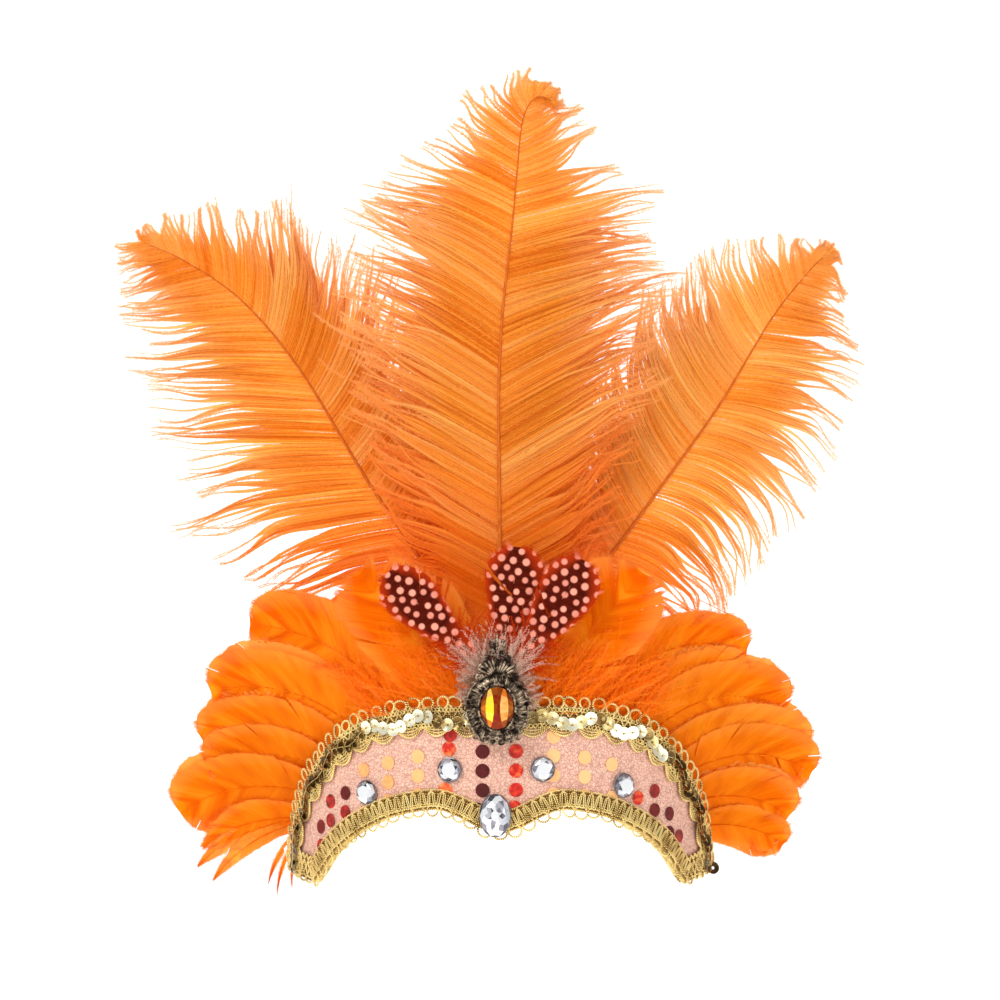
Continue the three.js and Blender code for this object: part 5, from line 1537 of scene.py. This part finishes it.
def brooch_crest(heap):
    """Ribs that fan out over the stone, scrolls on both sides, a stack of beads and three leaves."""
    for angle in np.radians(np.linspace(-62, 62, 11)):
        t = np.linspace(0, 1, 10)
        spread = 1.6 + 7.6 * t
        rib = CREST_FOOT + np.stack([spread * np.sin(angle), -.9 - 1.1 * np.sin(t * 2.6),
                                     spread * np.cos(angle) * .92 - 1], -1)
        heap.tubes(rib[None], np.interp(t, [0, .6, .9, 1], [.3, .62, .7, .3])[None], 6, FORWARD)
    for hand in (-1, 1):
        for side, rise, size, start in ((5.9, 1.6, 1.9, 0), (2.4, 8.4, 1.8, 1.2), (7.6, -2, 1.7, 2.2),
                                        (4.6, 5.2, 1.5, .6), (1.5, 12.4, 1.2, 1.6)):
            wind = np.linspace(start, start + 3.2 * np.pi, 40)
            radius = size * np.linspace(1, .25, 40)
            scroll = CREST_FOOT + np.stack([hand * (side + radius * np.cos(wind)), -.2 - .5 * np.linspace(0, 1, 40),
                                            rise + 1.5 + radius * np.sin(wind)], -1)
            heap.tubes(scroll[None], np.linspace(.6, .38, 40)[None], 6, FORWARD)
    for rise, size in ((8.8, 1.7), (12.0, 1.4), (14.8, 1.0), (16.8, .6)):
        bead = np.linspace(0, np.pi, 9)
        ring_line = CREST_FOOT + np.stack([0 * bead, 0 * bead - .4, rise - size * np.cos(bead)], -1)
        heap.tubes(ring_line[None], np.maximum(size * np.sin(bead), .05)[None], 9, FORWARD)
    for hand in (-1, 0, 1):
        t = np.linspace(0, 1, 14)
        rise = 9 + 8.4 * t * (1 - .25 * abs(hand))
        leaf = CREST_FOOT + np.stack([hand * 3.1 * np.sin(t * 2.2), -.6 - .4 * t, rise], -1)
        heap.tubes(leaf[None], np.interp(t, [0, .5, 1], [.35, .75, .12])[None], 6, FORWARD)


def build_brooch():
    """Filigree: a plate, a coil of wire, ropes round the stone, loops at the edge and a crest of scrolls."""
    heap = Heap()
    for add_part in (brooch_plate, brooch_wires, brooch_loops, brooch_crest):
        add_part(heap)
    return heap


# ---- settings ----
def colour_setting(name, description, value):
    return bpy.props.FloatVectorProperty(
        name=name, description=description, subtype="COLOR", size=4, min=0, max=1, default=(*value, 1))


def length_setting(name, description, value):
    return bpy.props.FloatProperty(name=name, description=description, unit="LENGTH", default=value, min=0)


class HeaddressSizes(bpy.types.PropertyGroup):
    """Sizes of the headdress's looks"""
    barbs_per_side: bpy.props.IntProperty(
        name="Barbs Per Side", description="Barbs on each side of a plume", default=340, min=20, max=400)
    barbules_per_barb: bpy.props.IntProperty(
        name="Barbules", description="Hairs on each side of a barb", default=45, min=4, max=90)
    barb_wave: length_setting("Barb Wave", "How far the barbs' ends wave", .0011)


class HeaddressColours(bpy.types.PropertyGroup):
    """Colours of the headdress's looks"""
    feather: colour_setting("Feather", "Dyed orange feather", (.98, .4, .045))
    feather_shade: colour_setting("Feather Shade", "Deeper orange", (.8, .2, .008))
    feather_light: colour_setting("Feather Light", "Paler orange", (1.0, .55, .14))
    feather_pale: colour_setting("Feather Pale", "Peach at the tips", (.96, .6, .32))
    # Painted shade between the barbs
    feather_gap_shade: colour_setting("Feather Gap Shade", "Brown lines between the barbs", (.5, .12, .01))
    feather_foot: colour_setting("Feather Foot", "Red orange near the band", (.95, .17, .002))
    goose: colour_setting("Goose", "Dyed goose feather", (.96, .2, .002))
    # Painted shade in the goose feathers' folds, also the deepest of their own tones
    goose_shade: colour_setting("Goose Shade", "Folds of the goose feathers", (.8, .11, .001))
    # Painted highlight on the goose feathers, also the palest of their own tones
    goose_light: colour_setting("Goose Light", "Lit goose feather", (1.0, .31, .01))
    goose_pale: colour_setting("Goose Pale", "Thin, paler feathers underneath", (1.0, .47, .12))
    shaft: colour_setting("Shaft", "Dyed shaft", (.7, .17, .02))
    shaft_dark: colour_setting("Shaft Dark", "Darker streaks of the shaft", (.42, .07, .008))
    guinea: colour_setting("Guinea", "Dark red vane", (.12, .008, .003))
    guinea_dark: colour_setting("Guinea Dark", "Darkest barbs", (.035, .003, .0015))
    guinea_foot: colour_setting("Guinea Foot", "Redder foot of the vane", (.6, .04, .003))
    guinea_spot: colour_setting("Guinea Spot", "Pale spots", (.98, .34, .24))
    down: colour_setting("Down", "Grey pink down", (.4, .2, .12))
    down_dark: colour_setting("Down Dark", "Shaded down", (.2, .07, .03))
    down_pale: colour_setting("Down Pale", "Pale down", (.8, .56, .44))
    fabric: colour_setting("Fabric", "Salmon satin", (.92, .56, .42))
    fabric_shade: colour_setting("Fabric Shade", "Deeper satin", (.82, .41, .29))
    net: colour_setting("Net", "Mauve net threads", (.3, .11, .08))
    gold: colour_setting("Gold", "Gold thread", (.86, .52, .11))
    # Painted shade in the hollows of the braids and between the cord's turns
    gold_hollow_shade: colour_setting("Gold Hollow Shade", "Hollows of the braid", (.1, .035, .004))
    # Painted highlight on the cords' turns
    gold_highlight: colour_setting("Gold Highlight", "Bright gold", (1.0, .84, .38))
    antique: colour_setting("Antique", "Rubbed brass", (.42, .32, .22))
    antique_dark: colour_setting("Antique Dark", "Darkened brass", (.02, .012, .008))
    comb: colour_setting("Comb", "Dark comb plastic", (.05, .022, .012))


class HEADDRESS_OT_plumes(bpy.types.Operator):
    """Three tall ostrich plumes"""
    bl_idname = "headdress.plumes"
    bl_label = "Ostrich Plumes"

    def execute(self, context):
        finishes = [plume_material(), shaft_material()]
        for name, plume in PLUMES.items():
            put(f"{name}_barbs", build_plume(plume), finishes, "ostrich_feather", name)
        return {"FINISHED"}


class HEADDRESS_OT_side_fans(bpy.types.Operator):
    """Goose feathers in a fan on each side, with fluff by the brooch"""
    bl_idname = "headdress.side_fans"
    bl_label = "Side Fans"

    def execute(self, context):
        finishes = [goose_material(), shaft_material()]
        for seed, (name, feather) in enumerate(SIDE_FEATHERS.items(), 60):
            build = build_base_fluff if "fluff" in name else build_side_feather
            put(f"{name}_vane", build(name, feather, seed), finishes, "goose_feather", name)
        return {"FINISHED"}


class HEADDRESS_OT_spotted_feathers(bpy.types.Operator):
    """Three spotted feathers and the down in front of them"""
    bl_idname = "headdress.spotted_feathers"
    bl_label = "Spotted Feathers and Down"

    def execute(self, context):
        finishes = [guinea_material(), shaft_material()]
        for name, feather in GUINEA_FEATHERS.items():
            put(f"{name}_vane", build_guinea(feather), finishes, "guinea_feather", name)
        put("down_strands", build_down(), [down_material()], "down", "down_tuft")
        return {"FINISHED"}


class HEADDRESS_OT_band(bpy.types.Operator):
    """Felt band and its net cover with flat sequins"""
    bl_idname = "headdress.band"
    bl_label = "Band and Cover"

    def execute(self, context):
        lining = Heap()
        band_shell(lining, -BAND_THICKNESS, 0, 160, 10)
        put("band_lining", lining, [felt_material()], "band_fabric", "band")
        flat_film = film_material("flat_sequin_film", SALMON_FILM, .34, .05, .7)
        cover = put("net_cover", build_cover(), [net_material(), flat_film], "net_fabric", "sequined_cover")
        return {"FINISHED"}


class HEADDRESS_OT_braids(bpy.types.Operator):
    """Gold braids and the chain of sequins"""
    bl_idname = "headdress.braids"
    bl_label = "Braids and Sequin Chain"

    def execute(self, context):
        finishes = [gold_cord_material(), gimp_material()]
        put("upper_braid_cords", build_upper_braid(), finishes, "gold_braid", "upper_braid")
        put("lower_braid_cords", build_lower_braid(), finishes, "gold_braid", "lower_braid")
        film = film_material("gold_sequin_film", GOLD_FILM, .16, .7, .25)
        put("sequin_chain", build_trim(), [film, finishes[0]], "gold_sequin", "sequin_trim")
        return {"FINISHED"}


class HEADDRESS_OT_jewels(bpy.types.Operator):
    """Cut stones, the brooch and the comb's finish"""
    bl_idname = "headdress.jewels"
    bl_label = "Stones, Brooch and Comb"

    def execute(self, context):
        clear = jewel_material("clear_stone", CLEAR_FACETS, .5, .08, .5)
        amber = jewel_material("amber_stone", AMBER_FACETS, .2, .12, .1)
        antique = antique_material()
        for seed, (name, place) in enumerate(STONES.items(), 80):
            put(f"{name}_cut", build_rhinestone(seed, *place), [clear], "clear_stone", name, flat=True)
        put("drop_stone_cut", build_drop_stone(), [clear], "clear_stone", "drop_stone", flat=True)
        put("amber_cut", build_amber(), [amber], "amber_stone", "amber_stone", flat=True)
        put("brooch_filigree", build_brooch(), [antique], "antique_metal", "brooch_setting")
        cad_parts["hair_comb"].material_slots[0].material = comb_material()
        return {"FINISHED"}


# The stage, in metres
FLOOR_SIZE = 12
FLOOR_DROP = .34
CAMERA_DISTANCE = 2.4
CAMERA_HEIGHT = .124


def area_light(name, size, energy, place, target):
    light = bpy.data.lights.new(name, "AREA")
    light.shape = "SQUARE"
    light.size = size
    light.energy = energy
    lamp = bpy.data.objects.new(name, light)
    aim = Vector(target) - Vector(place)
    lamp.matrix_world = Matrix.Translation(place) @ aim.to_track_quat("-Z", "Y").to_matrix().to_4x4()
    bpy.context.scene.collection.objects.link(lamp)
    return lamp


class HEADDRESS_OT_studio(bpy.types.Operator):
    """Pale floor with a wall behind, soft lights and the camera"""
    bl_idname = "headdress.studio"
    bl_label = "Studio"

    def execute(self, context):
        scene = context.scene
        bpy.ops.object.select_all(action="DESELECT")
        bpy.ops.mesh.primitive_plane_add(size=FLOOR_SIZE, location=(0, 0, -FLOOR_DROP))
        floor = context.active_object
        floor.name = "studio_floor"
        material, tree = blank_material("pale_floor")
        principled(tree, {
            "Base Color": (.93, .93, .93, 1), "Roughness": .9, "Emission Color": (1, 1, 1, 1),
            "Emission Strength": .45})
        floor.data.materials.append(material)
        bpy.ops.object.mode_set(mode="EDIT")
        bpy.ops.mesh.select_all(action="DESELECT")
        bpy.ops.object.mode_set(mode="OBJECT")
        for edge in floor.data.edges:
            edge.select = all(floor.data.vertices[v].co.y > 0 for v in edge.vertices)
        bpy.ops.object.mode_set(mode="EDIT")
        bpy.ops.mesh.extrude_region_move(TRANSFORM_OT_translate={"value": (0, 0, FLOOR_SIZE / 2)})
        bpy.ops.object.mode_set(mode="OBJECT")
        bpy.ops.object.transform_apply(location=True)
        world = bpy.data.worlds.new("studio_air")
        scene.world = world
        world.use_nodes = True
        world.node_tree.nodes["Background"].inputs[0].default_value = (1, 1, 1, 1)
        world.node_tree.nodes["Background"].inputs[1].default_value = .42
        area_light("key", 1.4, 56, (-1.3, -2.2, 1.7), (0, 0, .1))
        area_light("fill", 2.0, 19, (1.9, -1.9, .5), (0, 0, .1))
        area_light("back", 1.6, 34, (.3, 1.9, 1.5), (0, 0, .15))
        camera = bpy.data.cameras.new("camera")
        camera.sensor_width = 36
        camera.lens = camera.sensor_width * CAMERA_DISTANCE / (VIEW_WIDTH * MM)
        camera.clip_end = 40
        eye = bpy.data.objects.new("camera", camera)
        eye.matrix_world = Matrix.Translation((0, -CAMERA_DISTANCE, CAMERA_HEIGHT)) @ Matrix.Rotation(np.pi / 2, 4, "X")
        scene.collection.objects.link(eye)
        scene.camera = eye
        scene.view_settings.view_transform = "Standard"
        return {"FINISHED"}


class HEADDRESS_PT_panel(bpy.types.Panel):
    """Shows the headdress's settings and the buttons that build its pieces"""
    bl_idname = "HEADDRESS_PT_panel"
    bl_label = "Feather Headdress"
    bl_space_type = "VIEW_3D"
    bl_region_type = "UI"
    bl_category = "Headdress"

    def draw(self, context):
        for group in (context.scene.headdress_sizes, context.scene.headdress_colours):
            for name in group.bl_rna.properties.keys():
                if name not in ("rna_type", "name"):
                    self.layout.prop(group, name)
        for operator in OPERATORS:
            self.layout.operator(operator.bl_idname)


OPERATORS = (HEADDRESS_OT_plumes, HEADDRESS_OT_side_fans, HEADDRESS_OT_spotted_feathers, HEADDRESS_OT_band,
             HEADDRESS_OT_braids, HEADDRESS_OT_jewels, HEADDRESS_OT_studio)
CLASSES = (HeaddressSizes, HeaddressColours, *OPERATORS, HEADDRESS_PT_panel)


def register():
    for item in CLASSES:
        bpy.utils.register_class(item)
    bpy.types.Scene.headdress_sizes = bpy.props.PointerProperty(type=HeaddressSizes)
    bpy.types.Scene.headdress_colours = bpy.props.PointerProperty(type=HeaddressColours)


def unregister():
    del bpy.types.Scene.headdress_sizes
    del bpy.types.Scene.headdress_colours
    for item in reversed(CLASSES):
        bpy.utils.unregister_class(item)


def main():
    register()
    bpy.ops.headdress.plumes()
    bpy.ops.headdress.side_fans()
    bpy.ops.headdress.spotted_feathers()
    bpy.ops.headdress.band()
    bpy.ops.headdress.braids()
    bpy.ops.headdress.jewels()
    bpy.ops.headdress.studio()


if __name__ == "__main__":
    main()
